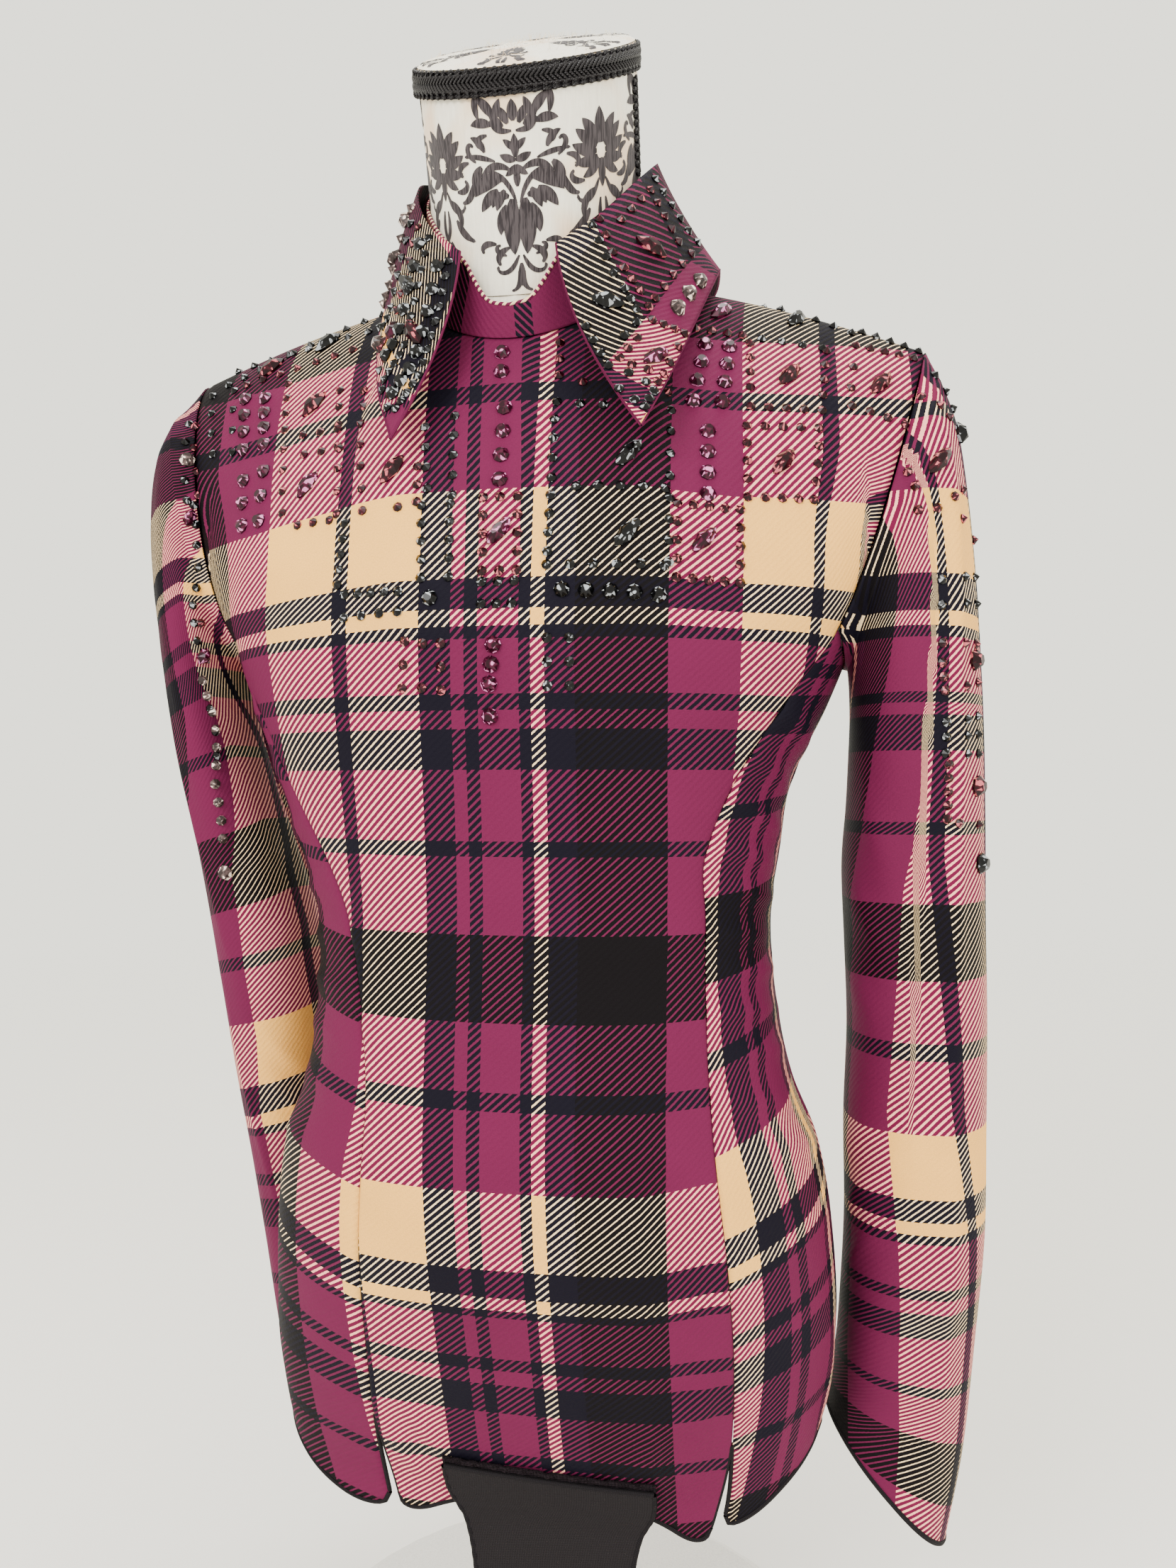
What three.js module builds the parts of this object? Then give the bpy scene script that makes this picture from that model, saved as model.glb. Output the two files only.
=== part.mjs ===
// Equestrian show shirt with long sleeves, worn by a limbless dress form on a low stand.
// Millimetres, +Z up, the front faces -Y and +X is the viewer's right. The floor is z = 0.
import * as THREE from 'three';

// ---------- driving dimensions ----------
const CLOTH = 1.6; // wall of every cloth piece
const SEAM = 0.3; // gap between two pieces at a seam
const OVAL = 2.4; // exponent of the torso's cross-section, 2 is an ellipse
const ARM_Z = 592; // level where the seams over the bust meet the armholes
const ARMPIT_DROP = 14; // the armhole's lowest point below that level
const SLIT_TOP = 212; // the hem slits at the bust seams open below this height
const SLIT_OPEN = 5; // width of a slit at the hem
const SLIT_TAPER = 60; // height over which a slit opens fully
const HEM_ROUND = 14; // rise of a hem's rounded corner
const ZIP_BOTTOM = 335;
const ZIP_HALF = 3; // half the width of the closed zip
const NECK_X = -3; // the neck stands a little to the viewer's left
const NECK_HALF = 60; // half the neck opening's width at the shoulder seams
const NECK_SIDE_Z = 776;
const NECK_SHARE = 0.4; // share of a half front's top edge that is neckline
const NECK_FRONT = { depth: 70, drop: 47 }; // neckline's lowest point before and below its sides
const NECK_BACK = { depth: 46, drop: 8 };
const SHOULDER_BOW = 3; // the shoulder seam's rise at its middle
const YOKE_LENGTH = 110; // shortest way from the bust line to the shoulder seam
const PANEL_EDGE = 0.9985; // half a seam short of the armhole, as a share of a half front
const COLLAR_X = -3.5;
const COLLAR_HALF = 58.6; // half the width of the stand's top edge
const COLLAR_AHEAD = 74;
const COLLAR_BEHIND = 53;
const FORM_CLEAR = 1.4; // air between the cloth and the dress form
const FORM_BOTTOM = 204;
const LEAN = 6 * (Math.PI / 180); // the worn shirt leans back by this angle about the pole's top
const POLE_RADIUS = 14;
const FLANGE_RADIUS = 24;
const BASE_RADIUS = 165;
const BASE_THICK = 16;
const CENTRE_X = 7.75; // the middle of the whole part stands over the origin

const SHOULDER = {
  right: { x: 191, z: 734 },
  left: { x: -190, z: 739 },
};

const COLOUR = {
  plaid: 0x6b2a4d,
  plaidSide: 0x5d2845,
  plaidBack: 0x642a4a,
  collar: 0x57284a,
  strap: 0x2a282c,
  zip: 0x2b2730,
  metal: 0xb9bbc0,
  form: 0xe4e0dc,
  braid: 0x1f1d20,
  stand: 0x2c2b2d,
};

// ---------- small tools ----------
const vec = (x, y, z) => new THREE.Vector3(x, y, z);
const mix = (a, b, t) => a + (b - a) * t;
const mixVec = (a, b, t) => a.clone().lerp(b, t);
const clamp01 = (t) => Math.min(1, Math.max(0, t));
const ease = (t) => clamp01(t) ** 2 * (3 - 2 * clamp01(t));

// Rows of numbers under named columns; each column becomes a smooth function of the first one.
function table(names, rows) {
  const columns = names.split(' ').slice(1);
  const at = rows.map((row) => row[0]);
  const out = {};
  columns.forEach((name, k) => {
    const values = rows.map((row) => row[k + 1]);
    out[name] = (x) => {
      let i = at.findIndex((a) => a > x) - 1;
      if (i < -1) i = at.length - 2;
      i = Math.max(0, Math.min(at.length - 2, i));
      const span = at[i + 1] - at[i];
      const t = clamp01((x - at[i]) / span);
      const slope = (j) => {
        const a = Math.max(0, j - 1);
        const b = Math.min(at.length - 1, j + 1);
        return (values[b] - values[a]) / (at[b] - at[a]);
      };
      const t2 = t * t;
      const t3 = t2 * t;
      return (2 * t3 - 3 * t2 + 1) * values[i] + (t3 - 2 * t2 + t) * span * slope(i)
        + (3 * t2 - 2 * t3) * values[i + 1] + (t3 - t2) * span * slope(i + 1);
    };
  });
  return out;
}

function hermite(p0, t0, p1, t1, s) {
  const s2 = s * s;
  const s3 = s2 * s;
  return p0.clone().multiplyScalar(2 * s3 - 3 * s2 + 1)
    .addScaledVector(t0, s3 - 2 * s2 + s)
    .addScaledVector(p1, 3 * s2 - 2 * s3)
    .addScaledVector(t1, s3 - s2);
}

// ---------- the worn body of the shirt: its outer face ----------
const BODY = table('z left right front back seamLeft seamRight seamBack', [
  [120, 128, 122, 20, 80, 72, 80, 90],
  [160, 136, 130, 31, 86, 77, 92, 94],
  [200, 143, 140, 48, 91, 80, 98, 97],
  [250, 145, 148, 68, 96, 79, 100, 99],
  [300, 142, 146, 86, 95, 76, 98, 96],
  [340, 136, 139, 94, 88, 72, 94, 90],
  [370, 125, 127, 95, 80, 70, 91, 82],
  [400, 119, 120, 94, 72, 72, 89, 76],
  [435, 117, 116, 92, 66, 78, 88, 74],
  [460, 119, 116, 92, 64, 84, 88, 76],
  [486, 127, 120, 94, 65, 96, 88, 80],
  [522, 139, 126, 99, 70, 118, 102, 94],
  [560, 152, 144, 105, 78, 138, 126, 116],
  [592, 163, 156, 107, 84, 156, 148, 140],
  [620, 166, 160, 107, 86, 158, 152, 142],
]);

function torso(phi, z) {
  const across = Math.cos(phi);
  const ahead = Math.sin(phi);
  const half = across > 0 ? BODY.right(z) : BODY.left(z);
  const depth = ahead > 0 ? BODY.front(z) : BODY.back(z);
  const x = Math.sign(across) * half * Math.abs(across) ** (2 / OVAL);
  const y = -Math.sign(ahead) * depth * Math.abs(ahead) ** (2 / OVAL);
  return vec(x, y, z);
}

const FRONT = Math.PI / 2;
const LEFT = Math.PI;
const BACK = 1.5 * Math.PI;
const RIGHT = 2 * Math.PI;

// Angle of each long seam at a height; the right side seam is at 0 and at a full turn.
function seamAngle(name, z) {
  const turn = (x, half) => Math.acos(Math.min(1, x / half) ** (OVAL / 2));
  if (name === 'bustRight') return turn(BODY.seamRight(z), BODY.right(z));
  if (name === 'bustLeft') return Math.PI - turn(BODY.seamLeft(z), BODY.left(z));
  if (name === 'bladeLeft') return Math.PI + turn(BODY.seamBack(z), BODY.left(z));
  if (name === 'bladeRight') return 2 * Math.PI - turn(BODY.seamBack(z), BODY.right(z));
  if (name === 'sideRight') return 0;
  if (name === 'sideRightEnd') return RIGHT;
  if (name === 'sideLeft') return LEFT;
  const half = name === 'zipLeft' ? BODY.left(z) : BODY.right(z);
  return BACK + (name === 'zipLeft' ? -1 : 1) * Math.asin((zipEdge(z) / half) ** (OVAL / 2));
}

// Distance from the centre back to a back panel's edge: half the zip, then half a seam below it.
function zipEdge(z) {
  return SEAM / 2 + ZIP_HALF * ease((z - ZIP_BOTTOM + 8) / 8);
}

// Front (face 1) and back (face -1) above the bust line, u from -1 to 1 between the armholes
// and s from 0 at the bust line to 1 at the neckline and shoulder seams.
function topEdge(face, u) {
  const w = Math.abs(u);
  const hand = u >= 0 ? 1 : -1;
  if (w <= NECK_SHARE) {
    const turn = (w / NECK_SHARE) * (Math.PI / 2);
    const cut = face > 0 ? NECK_FRONT : NECK_BACK;
    const z = NECK_SIDE_Z - cut.drop * Math.cos(turn) ** 1.5;
    return vec(NECK_X + hand * NECK_HALF * Math.sin(turn), -face * cut.depth * Math.cos(turn), z);
  }
  const along = (w - NECK_SHARE) / (1 - NECK_SHARE);
  const tip = hand > 0 ? SHOULDER.right : SHOULDER.left;
  const x = mix(NECK_X + hand * NECK_HALF, tip.x, along);
  return vec(x, 0, mix(NECK_SIDE_Z, tip.z, along) + SHOULDER_BOW * Math.sin(along * Math.PI));
}

function yokeAngle(face, u) {
  const names = face > 0 ? ['bustRight', 'bustLeft'] : ['bladeRight', 'bladeLeft'];
  const middle = face > 0 ? FRONT : BACK;
  return mix(middle, seamAngle(u >= 0 ? names[0] : names[1], ARM_Z), Math.abs(u));
}

// Each column of the yoke leaves the bust line and meets its top edge along these directions.
function yoke(face, u, s) {
  const w = Math.abs(u);
  const hand = u >= 0 ? 1 : -1;
  const atCentre = vec(0, 0, 150);
  const atArm = vec(hand * 58, -45 * face, YOKE_LENGTH);
  const intoNeck = vec(0, 50 * face, 120);
  const overShoulder = vec(0, mix(150, 90, w ** 2) * face, 0);
  const start = torso(yokeAngle(face, u), ARM_Z);
  const rise = mixVec(atCentre, atArm, w ** 3);
  const finish = mixVec(intoNeck, overShoulder, ease((w / NECK_SHARE) ** 1.5));
  return hermite(start, rise, topEdge(face, u), finish, s);
}

// ---------- closed walls from a surface function ----------
const STEP = 1e-3;

function normalOf(surface, u, v, facing) {
  const across = surface(u + STEP, v).sub(surface(u - STEP, v));
  const low = surface(u, Math.max(0, v - STEP));
  const up = surface(u, Math.min(1, v + STEP)).sub(low);
  return across.cross(up).normalize().multiplyScalar(facing);
}

// Makes one closed body of an outer and an inner grid of points, joined round the edges.
function shell(outer, inner, columns, rows, loop) {
  const points = [...outer, ...inner];
  const second = outer.length;
  const width = loop ? columns : columns + 1;
  const at = (i, j) => j * width + (i % width);
  const faces = [];
  const quad = (a, b, c, d) => faces.push(a, b, c, a, c, d);
  for (let j = 0; j < rows; j += 1) {
    for (let i = 0; i < columns; i += 1) {
      quad(at(i, j), at(i + 1, j), at(i + 1, j + 1), at(i, j + 1));
      quad(second + at(i, j + 1), second + at(i + 1, j + 1), second + at(i + 1, j), second + at(i, j));
    }
  }
  for (let i = 0; i < columns; i += 1) {
    quad(second + at(i, 0), second + at(i + 1, 0), at(i + 1, 0), at(i, 0));
    quad(at(i, rows), at(i + 1, rows), second + at(i + 1, rows), second + at(i, rows));
  }
  for (let j = 0; j < rows && !loop; j += 1) {
    quad(at(0, j), at(0, j + 1), second + at(0, j + 1), second + at(0, j));
    quad(second + at(columns, j), second + at(columns, j + 1), at(columns, j + 1), at(columns, j));
  }
  return solid(points, faces);
}

// Geometry from points and triangles, turned to face out if its volume comes out negative.
function solid(points, faces) {
  let volume = 0;
  for (let k = 0; k < faces.length; k += 3) {
    const [a, b, c] = [points[faces[k]], points[faces[k + 1]], points[faces[k + 2]]];
    volume += a.dot(b.clone().cross(c));
  }
  const turned = volume < 0 ? faces.slice().reverse() : faces;
  const geometry = new THREE.BufferGeometry();
  geometry.setAttribute('position', new THREE.Float32BufferAttribute(points.flatMap((p) => p.toArray()), 3));
  geometry.setIndex(turned);
  geometry.computeVertexNormals();
  return geometry;
}

function wall(surface, columns, rows, facing, thick = CLOTH) {
  const outer = [];
  const inner = [];
  for (let j = 0; j <= rows; j += 1) {
    for (let i = 0; i <= columns; i += 1) {
      const point = surface(i / columns, j / rows);
      outer.push(point);
      inner.push(point.clone().addScaledVector(normalOf(surface, i / columns, j / rows, facing), -thick));
    }
  }
  return shell(outer, inner, columns, rows, false);
}

// The shirt and the form are worked out upright and lean back together; the stand is level.
const part = new THREE.Group();
const shirt = new THREE.Group();
part.position.x = -CENTRE_X;
part.add(shirt);
shirt.rotation.x = -LEAN;
shirt.position.y = -FORM_BOTTOM * Math.sin(LEAN);
shirt.position.z = FORM_BOTTOM * (1 - Math.cos(LEAN));

function add(name, geometry, colour, roughness = 0.9, metalness = 0, group = shirt) {
  const material = new THREE.MeshStandardMaterial({ color: colour, roughness, metalness });
  const mesh = new THREE.Mesh(geometry, material);
  mesh.name = name;
  group.add(mesh);
}

// ---------- body panels ----------
// Heights of the rows below the bust line; the two lowest rows follow each panel's own hem.
const ROWS = [0, 0, 215, 245, 275, 305, 335, 365, 395, 425, 455, 485, 515, 545, 570, ARM_Z];
const TOP_ROWS = 7;

function rowHeight(row, hem, top) {
  const k = Math.min(ROWS.length - 2, Math.max(0, Math.floor(row)));
  const level = (index) => {
    if (index < 2) return mix(hem, ROWS[2], index / 2);
    return index === ROWS.length - 1 ? top : ROWS[index];
  };
  return mix(level(k), level(k + 1), clamp01(row - k));
}

// A panel's edge keeps half a seam's gap, and near the hem half of the open slit as well.
function edgeInset(phi, z, slit) {
  const speed = torso(phi + STEP, z).distanceTo(torso(phi - STEP, z)) / (2 * STEP);
  const open = slit ? (SLIT_OPEN / 2) * ease((SLIT_TOP - z) / SLIT_TAPER) : 0;
  return (SEAM / 2 + open) / speed;
}

function bodyPoint(panel, u, z) {
  const a = seamAngle(panel.from, z);
  const b = seamAngle(panel.to, z);
  const start = panel.from === 'zipRight' ? a : a + edgeInset(a, z, panel.slitFrom);
  const end = panel.to === 'zipLeft' ? b : b - edgeInset(b, z, panel.slitTo);
  return torso(mix(start, end, u), z);
}

// Hem of a panel: from one height to the other, with its corners rounded off upwards.
function hemLine(from, to, arch, roundFrom, roundTo) {
  return (u) => {
    const t = clamp01(u);
    const corner = (d, size) => {
      if (d >= size) return 0;
      return HEM_ROUND * (1 - Math.sqrt(1 - (1 - d / size) ** 2));
    };
    return mix(from, to, t) + arch * Math.sin(Math.PI * t) + corner(t, roundFrom) + corner(1 - t, roundTo);
  };
}

function lowerPanel(panel) {
  const top = panel.top || (() => ARM_Z);
  const surface = (u, v) => bodyPoint(panel, u, rowHeight(v * (ROWS.length - 1), panel.hem(u), top(u)));
  return wall(surface, panel.columns, ROWS.length - 1, -1);
}

// A front or back that runs on from its hem to the neckline and shoulder seams.
function tallPanel(panel) {
  const rows = ROWS.length - 1;
  const total = rows + TOP_ROWS;
  const face = panel.face;
  const surface = (u, v) => {
    const row = v * total;
    if (row <= rows) return bodyPoint(panel, u, rowHeight(row, panel.hem(u), ARM_Z));
    const s = Math.min(1, (row - rows) / TOP_ROWS);
    const start = panel.u0 || zipShare(s);
    const end = panel.u1 || -zipShare(s);
    return yoke(face, mix(start, end, u), s * (1 - SEAM / 2 / YOKE_LENGTH));
  };
  return wall(surface, panel.columns, total, -1);
}

// Share of a half back, from the centre back, that the closed zip takes at a height of the yoke.
const zipShare = (s) => mix(0.0095, 0.0134, s);

// The front runs from right to left in angle, so u goes from the viewer's right to the left.
add('front_centre', tallPanel({
  face: 1,
  from: 'bustRight',
  to: 'bustLeft',
  slitFrom: true,
  slitTo: true,
  u0: PANEL_EDGE,
  u1: -PANEL_EDGE,
  hem: hemLine(138, 141, 26, 0.14, 0.14),
  columns: 20,
}), COLOUR.plaid);

const sideTop = (towards) => (u) => ARM_Z - ARMPIT_DROP * Math.sin((towards ? u : 1 - u) * Math.PI / 2);

add('side_front_right', lowerPanel({
  from: 'sideRight',
  to: 'bustRight',
  slitTo: true,
  hem: hemLine(202, 145, 4, 0, 0.35),
  top: sideTop(false),
  columns: 5,
}), COLOUR.plaidSide);

add('side_front_left', lowerPanel({
  from: 'bustLeft',
  to: 'sideLeft',
  slitFrom: true,
  hem: hemLine(140, 190, -6, 0.3, 0),
  top: sideTop(true),
  columns: 5,
}), COLOUR.plaidSide);

add('side_back_left', lowerPanel({
  from: 'sideLeft',
  to: 'bladeLeft',
  slitTo: true,
  hem: hemLine(190, 142, 0, 0, 0.3),
  top: sideTop(false),
  columns: 5,
}), COLOUR.plaidBack);

add('side_back_right', lowerPanel({
  from: 'bladeRight',
  to: 'sideRightEnd',
  slitFrom: true,
  hem: hemLine(142, 202, 0, 0.3, 0),
  top: sideTop(true),
  columns: 5,
}), COLOUR.plaidBack);

add('back_left', tallPanel({
  face: -1,
  from: 'bladeLeft',
  to: 'zipLeft',
  slitFrom: true,
  u0: -PANEL_EDGE,
  u1: 0,
  hem: hemLine(140, 140, 0, 0.25, 0),
  columns: 10,
}), COLOUR.plaidBack);

add('back_right', tallPanel({
  face: -1,
  from: 'zipRight',
  to: 'bladeRight',
  slitTo: true,
  u0: 0,
  u1: PANEL_EDGE,
  hem: hemLine(140, 140, 0, 0, 0.25),
  columns: 10,
}), COLOUR.plaidBack);

// The zip's chain fills the gap between the two backs and ends just below the neckline.
const ZIP_THICK = 2;
const ZIP_SPLIT = 0.6; // share of the chain below the bust line
const ZIP_FILL = 0.8; // chain's width as a share of the gap above the bust line
const ZIP_TOP = 0.985;

function zipPoint(u, v) {
  const side = mix(-1, 1, u);
  if (v <= ZIP_SPLIT) {
    const z = mix(ZIP_BOTTOM + 1, ARM_Z, v / ZIP_SPLIT);
    const reach = ((ZIP_HALF - SEAM) / BODY.right(z)) ** (OVAL / 2);
    return torso(BACK + side * Math.asin(reach), z);
  }
  const s = (v - ZIP_SPLIT) / (1 - ZIP_SPLIT);
  return yoke(-1, side * ZIP_FILL * zipShare(s), s * ZIP_TOP);
}
add('zip_chain', wall(zipPoint, 1, 18, -1, ZIP_THICK), COLOUR.zip, 0.5);

// A slider with its pull stands just proud of the chain below the neck.
const SLIDER_AT = 0.9;

function slider(width, height, depth, out) {
  const outline = new THREE.Shape();
  outline.moveTo(-width / 2, -height * 0.3);
  outline.quadraticCurveTo(-width / 2, -height / 2, 0, -height / 2);
  outline.quadraticCurveTo(width / 2, -height / 2, width / 2, -height * 0.3);
  outline.lineTo(width * 0.38, height / 2);
  outline.lineTo(-width * 0.38, height / 2);
  outline.closePath();
  const geometry = new THREE.ExtrudeGeometry(outline, { depth, bevelEnabled: false, curveSegments: 5 });
  const seat = yoke(-1, 0, SLIDER_AT);
  const up = yoke(-1, 0, SLIDER_AT + 0.03).sub(yoke(-1, 0, SLIDER_AT - 0.03)).normalize();
  const across = vec(1, 0, 0);
  const away = up.clone().cross(across).normalize();
  geometry.applyMatrix4(new THREE.Matrix4().makeBasis(across.negate(), up, away));
  seat.addScaledVector(away, out);
  geometry.translate(seat.x, seat.y, seat.z);
  return geometry;
}
add('zip_slider', slider(8, 11, 3, 1.2), COLOUR.metal, 0.35, 0.9);

// ---------- sleeves ----------
const RING = 20;
const SLEEVE_GAP = 1.2; // a sleeve's head stands out from the armhole's edge by this much
const ARMPIT_STEPS = 5;
const SLEEVE_SQUARE = 0.9; // exponent of a sleeve's cross-section, 1 is an ellipse

// The armhole from the shoulder tip down the front, under the arm and up the back.
function armhole(hand) {
  const steps = 12;
  const [bust, blade, side] = hand > 0 ? ['bustRight', 'bladeRight', 0] : ['bustLeft', 'bladeLeft', LEFT];
  const front = [];
  const back = [];
  for (let k = 0; k <= steps; k += 1) front.push(yoke(1, hand, 1 - k / steps));
  for (let k = 0; k <= steps; k += 1) back.push(yoke(-1, hand, 1 - k / steps));
  const lift = (t) => ARM_Z - ARMPIT_DROP * Math.sin((t * Math.PI) / 2);
  const bladeAngle = hand > 0 ? seamAngle(blade, ARM_Z) - RIGHT : seamAngle(blade, ARM_Z);
  for (let k = 1; k <= ARMPIT_STEPS; k += 1) {
    const t = k / ARMPIT_STEPS;
    front.push(torso(mix(seamAngle(bust, ARM_Z), side, t), lift(t)));
    back.push(torso(mix(bladeAngle, side, t), lift(t)));
  }
  const half = (points) => new THREE.CatmullRomCurve3(points).getSpacedPoints(RING / 2);
  const around = [...half(front).slice(0, -1), ...half(back).slice(1).reverse()];
  return around.map((point) => point.add(vec(hand * SLEEVE_GAP, 0, 0)));
}

// Each ring of a sleeve: its outer and its inner edge, its middle from front to back and half depth.
const SLEEVE_COLUMNS = 'ring outerX outerZ innerX innerZ middle depth';
const SLEEVE = {
  right: table(SLEEVE_COLUMNS, [
    [1, 199, 717, 154.0, 577, 0, 46],
    [2, 206, 695, 154.4, 571, 0, 50],
    [3, 211, 662, 154.8, 562, 2, 53],
    [4, 215, 625, 155, 550, 5, 55],
    [5, 218, 585, 154.5, 533, 9, 55],
    [6, 220.5, 545, 153.5, 509, 14, 54],
    [7, 222, 500, 151.5, 478, 19, 53],
    [8, 223, 452, 153, 438, 24, 52],
    [9, 224.5, 400, 154.5, 394, 29, 50],
    [10, 225, 345, 153, 345, 34, 48],
    [11, 225, 288, 153.5, 292, 39, 46],
    [12, 221, 232, 151.5, 246, 44, 44],
    [13, 215.5, 172, 149, 214, 48, 42],
    [14, 207, 120, 144, 188, 52, 40],
  ]),
  left: table(SLEEVE_COLUMNS, [
    [1, -202.5, 722, -165.5, 582, 0, 46],
    [2, -208, 703, -165.5, 577, 0, 50],
    [3, -209.5, 672, -165, 568, 1, 53],
    [4, -208, 635, -164, 556, 3, 55],
    [5, -205, 592, -161, 539, 6, 55],
    [6, -201.5, 550, -155, 515, 10, 54],
    [7, -198, 505, -147, 484, 17, 52],
    [8, -196, 460, -139, 446, 27, 50],
    [9, -194, 410, -135, 402, 38, 48],
    [10, -193, 355, -139, 354, 53, 45],
    [11, -191, 303, -138, 306, 67, 43],
    [12, -189, 248, -136, 258, 80, 41],
    [13, -187, 190, -133, 226, 92, 39],
    [14, -183, 133, -129, 198, 104, 37],
  ]),
};
const SLEEVE_ROWS = 14;
const HEAD_PULL = { share: 0.22, rings: 3 }; // the rings near the armhole lean towards it

function sleevePoint(rows, loop, i, ring) {
  const turn = (i / RING) * 2 * Math.PI;
  const seat = loop[((i % RING) + RING) % RING];
  if (ring <= 0) return seat.clone();
  const k = Math.max(1, Math.min(SLEEVE_ROWS, ring));
  const top = vec(rows.outerX(k), rows.middle(k), rows.outerZ(k));
  const under = vec(rows.innerX(k), rows.middle(k), rows.innerZ(k));
  const round = (t) => Math.sign(t) * Math.abs(t) ** SLEEVE_SQUARE;
  const point = mixVec(under, top, (1 + round(Math.cos(turn))) / 2);
  point.y -= rows.depth(k) * round(Math.sin(turn));
  const blend = HEAD_PULL.share * clamp01(1 - ring / HEAD_PULL.rings) ** 2;
  return ring < 1 ? mixVec(seat, point, ring) : point.lerp(seat, blend);
}

function sleeve(hand) {
  const rows = hand > 0 ? SLEEVE.right : SLEEVE.left;
  const loop = armhole(hand);
  const outer = [];
  const inner = [];
  for (let j = 0; j <= SLEEVE_ROWS; j += 1) {
    for (let i = 0; i < RING; i += 1) {
      const point = sleevePoint(rows, loop, i, j);
      const around = sleevePoint(rows, loop, i + 1, j).sub(sleevePoint(rows, loop, i - 1, j));
      const along = sleevePoint(rows, loop, i, Math.min(SLEEVE_ROWS, j + 1));
      along.sub(sleevePoint(rows, loop, i, Math.max(0, j - 1)));
      const out = around.cross(along).normalize().multiplyScalar(hand);
      outer.push(point);
      inner.push(point.clone().addScaledVector(out, -CLOTH));
    }
  }
  return shell(outer, inner, RING, SLEEVE_ROWS, true);
}
add('sleeve_right', sleeve(1), COLOUR.plaid);
add('sleeve_left', sleeve(-1), COLOUR.plaid);

// ---------- collar ----------
// Top edge of the stand by angle from the centre front; it dips to a rounded notch in front.
const STAND_TOP = table('turn z', [
  [0, 743], [10, 746], [17, 756], [23, 767], [40, 785], [65, 812], [90, 834], [135, 846], [180, 850],
]);
const STAND_LIFT = 1.3; // the stand starts this far above the neckline
const STAND_END = 179.4; // half turn to either side less half the seam at the centre back

function standPoint(turn, rise) {
  const angle = (turn * Math.PI) / 180;
  const side = Math.sin(angle);
  const ahead = Math.cos(angle);
  const w = Math.min(1, Math.abs(turn) <= 90 ? Math.abs(turn) / 90 : (180 - Math.abs(turn)) / 90);
  const edge = topEdge(Math.abs(turn) <= 90 ? 1 : -1, Math.sign(turn || 1) * w * NECK_SHARE);
  const low = edge.add(vec(0, 0, STAND_LIFT));
  const depth = ahead > 0 ? COLLAR_AHEAD : COLLAR_BEHIND;
  const high = vec(COLLAR_X + COLLAR_HALF * side, -depth * ahead, STAND_TOP.z(Math.abs(turn)));
  return mixVec(low, high, rise);
}
add('collar_stand', wall((u, v) => standPoint(mix(-STAND_END, STAND_END, u), v), 40, 3, 1), COLOUR.collar);

// One leaf of the collar: its fold, a line halfway and its free edge, from the front to the back.
// Near the front both free edges lie further to the viewer's right than the fold does.
const LEAF_X = { right: 4, left: 9 };
const LEAF = table('s foldX foldY foldZ midX midY midZ edgeX edgeY edgeZ', [
  [0, 23, -76, 769, 34, -92, 722, 59, -106, 674],
  [0.2, 41.5, -62, 788, 52, -79, 748, 70, -86, 703],
  [0.4, 56.5, -36, 816, 67, -47, 784, 81, -44, 749],
  [0.55, 62, -6, 838, 72, -8, 809, 86, 0, 784],
  [0.75, 48, 38, 850, 58, 48, 820, 72, 60, 790],
  [1, 1.2, 57.5, 854, 1.2, 69, 828, 1.2, 85, 795],
]);

function leafPoint(hand, s, t) {
  const a = vec(LEAF.foldX(s), LEAF.foldY(s), LEAF.foldZ(s));
  const b = vec(LEAF.midX(s), LEAF.midY(s), LEAF.midZ(s));
  const c = vec(LEAF.edgeX(s), LEAF.edgeY(s), LEAF.edgeZ(s));
  const point = a.multiplyScalar((1 - t) * (1 - 2 * t))
    .addScaledVector(b, 4 * t * (1 - t))
    .addScaledVector(c, t * (2 * t - 1));
  const edgeX = hand > 0 ? LEAF_X.right : mix(LEAF_X.left, LEAF_X.right, ease(2 * s));
  point.x = point.x * hand + mix(COLLAR_X, edgeX, t);
  return point;
}
add('collar_leaf_right', wall((u, v) => leafPoint(1, u, 1 - v), 10, 5, 1), COLOUR.collar);
add('collar_leaf_left', wall((u, v) => leafPoint(-1, u, 1 - v), 10, 5, -1), COLOUR.collar);

// ---------- crotch strap, fastened to the front by a loop tape ----------
const STRAP_X = 8;
const STRAP_TOP = 180;
const STRAP_END = 84;
const STRAP_GAP = 0.5; // between the strap and the tape it is pressed on
const STRAP_TILT = -0.06; // slope of the strap's top edge, low at the viewer's right
const TAPE_HALF = 53;
const TAPE_LOW = 168;
const TAPE_HIGH = 184;
const TAPE_THICK = 1;
const TAPE_OUT = 2.2; // the tape's outer face before the front's
const STRAP = table('z half', [[80, 37], [130, 40], [150, 44], [166, 51], [190, 52]]);

// A point in front of the shirt, moved out from the front panel, hanging plumb near the hem.
const PLUMB_Z = 150;

function aheadOfFront(x, z, out) {
  const held = Math.max(z, PLUMB_Z);
  const half = x > 0 ? BODY.right(held) : BODY.left(held);
  const phi = Math.acos(Math.sign(x) * (Math.abs(x) / half) ** (OVAL / 2));
  const point = torso(phi, held);
  const hang = Math.tan(LEAN) * (held - z);
  const across = torso(phi + STEP, held).sub(torso(phi - STEP, held));
  const up = torso(phi, held + 1).sub(torso(phi, held - 1));
  const away = across.cross(up).normalize();
  point.addScaledVector(away, -out);
  return vec(point.x, point.y + hang, z - held + point.z);
}

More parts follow.
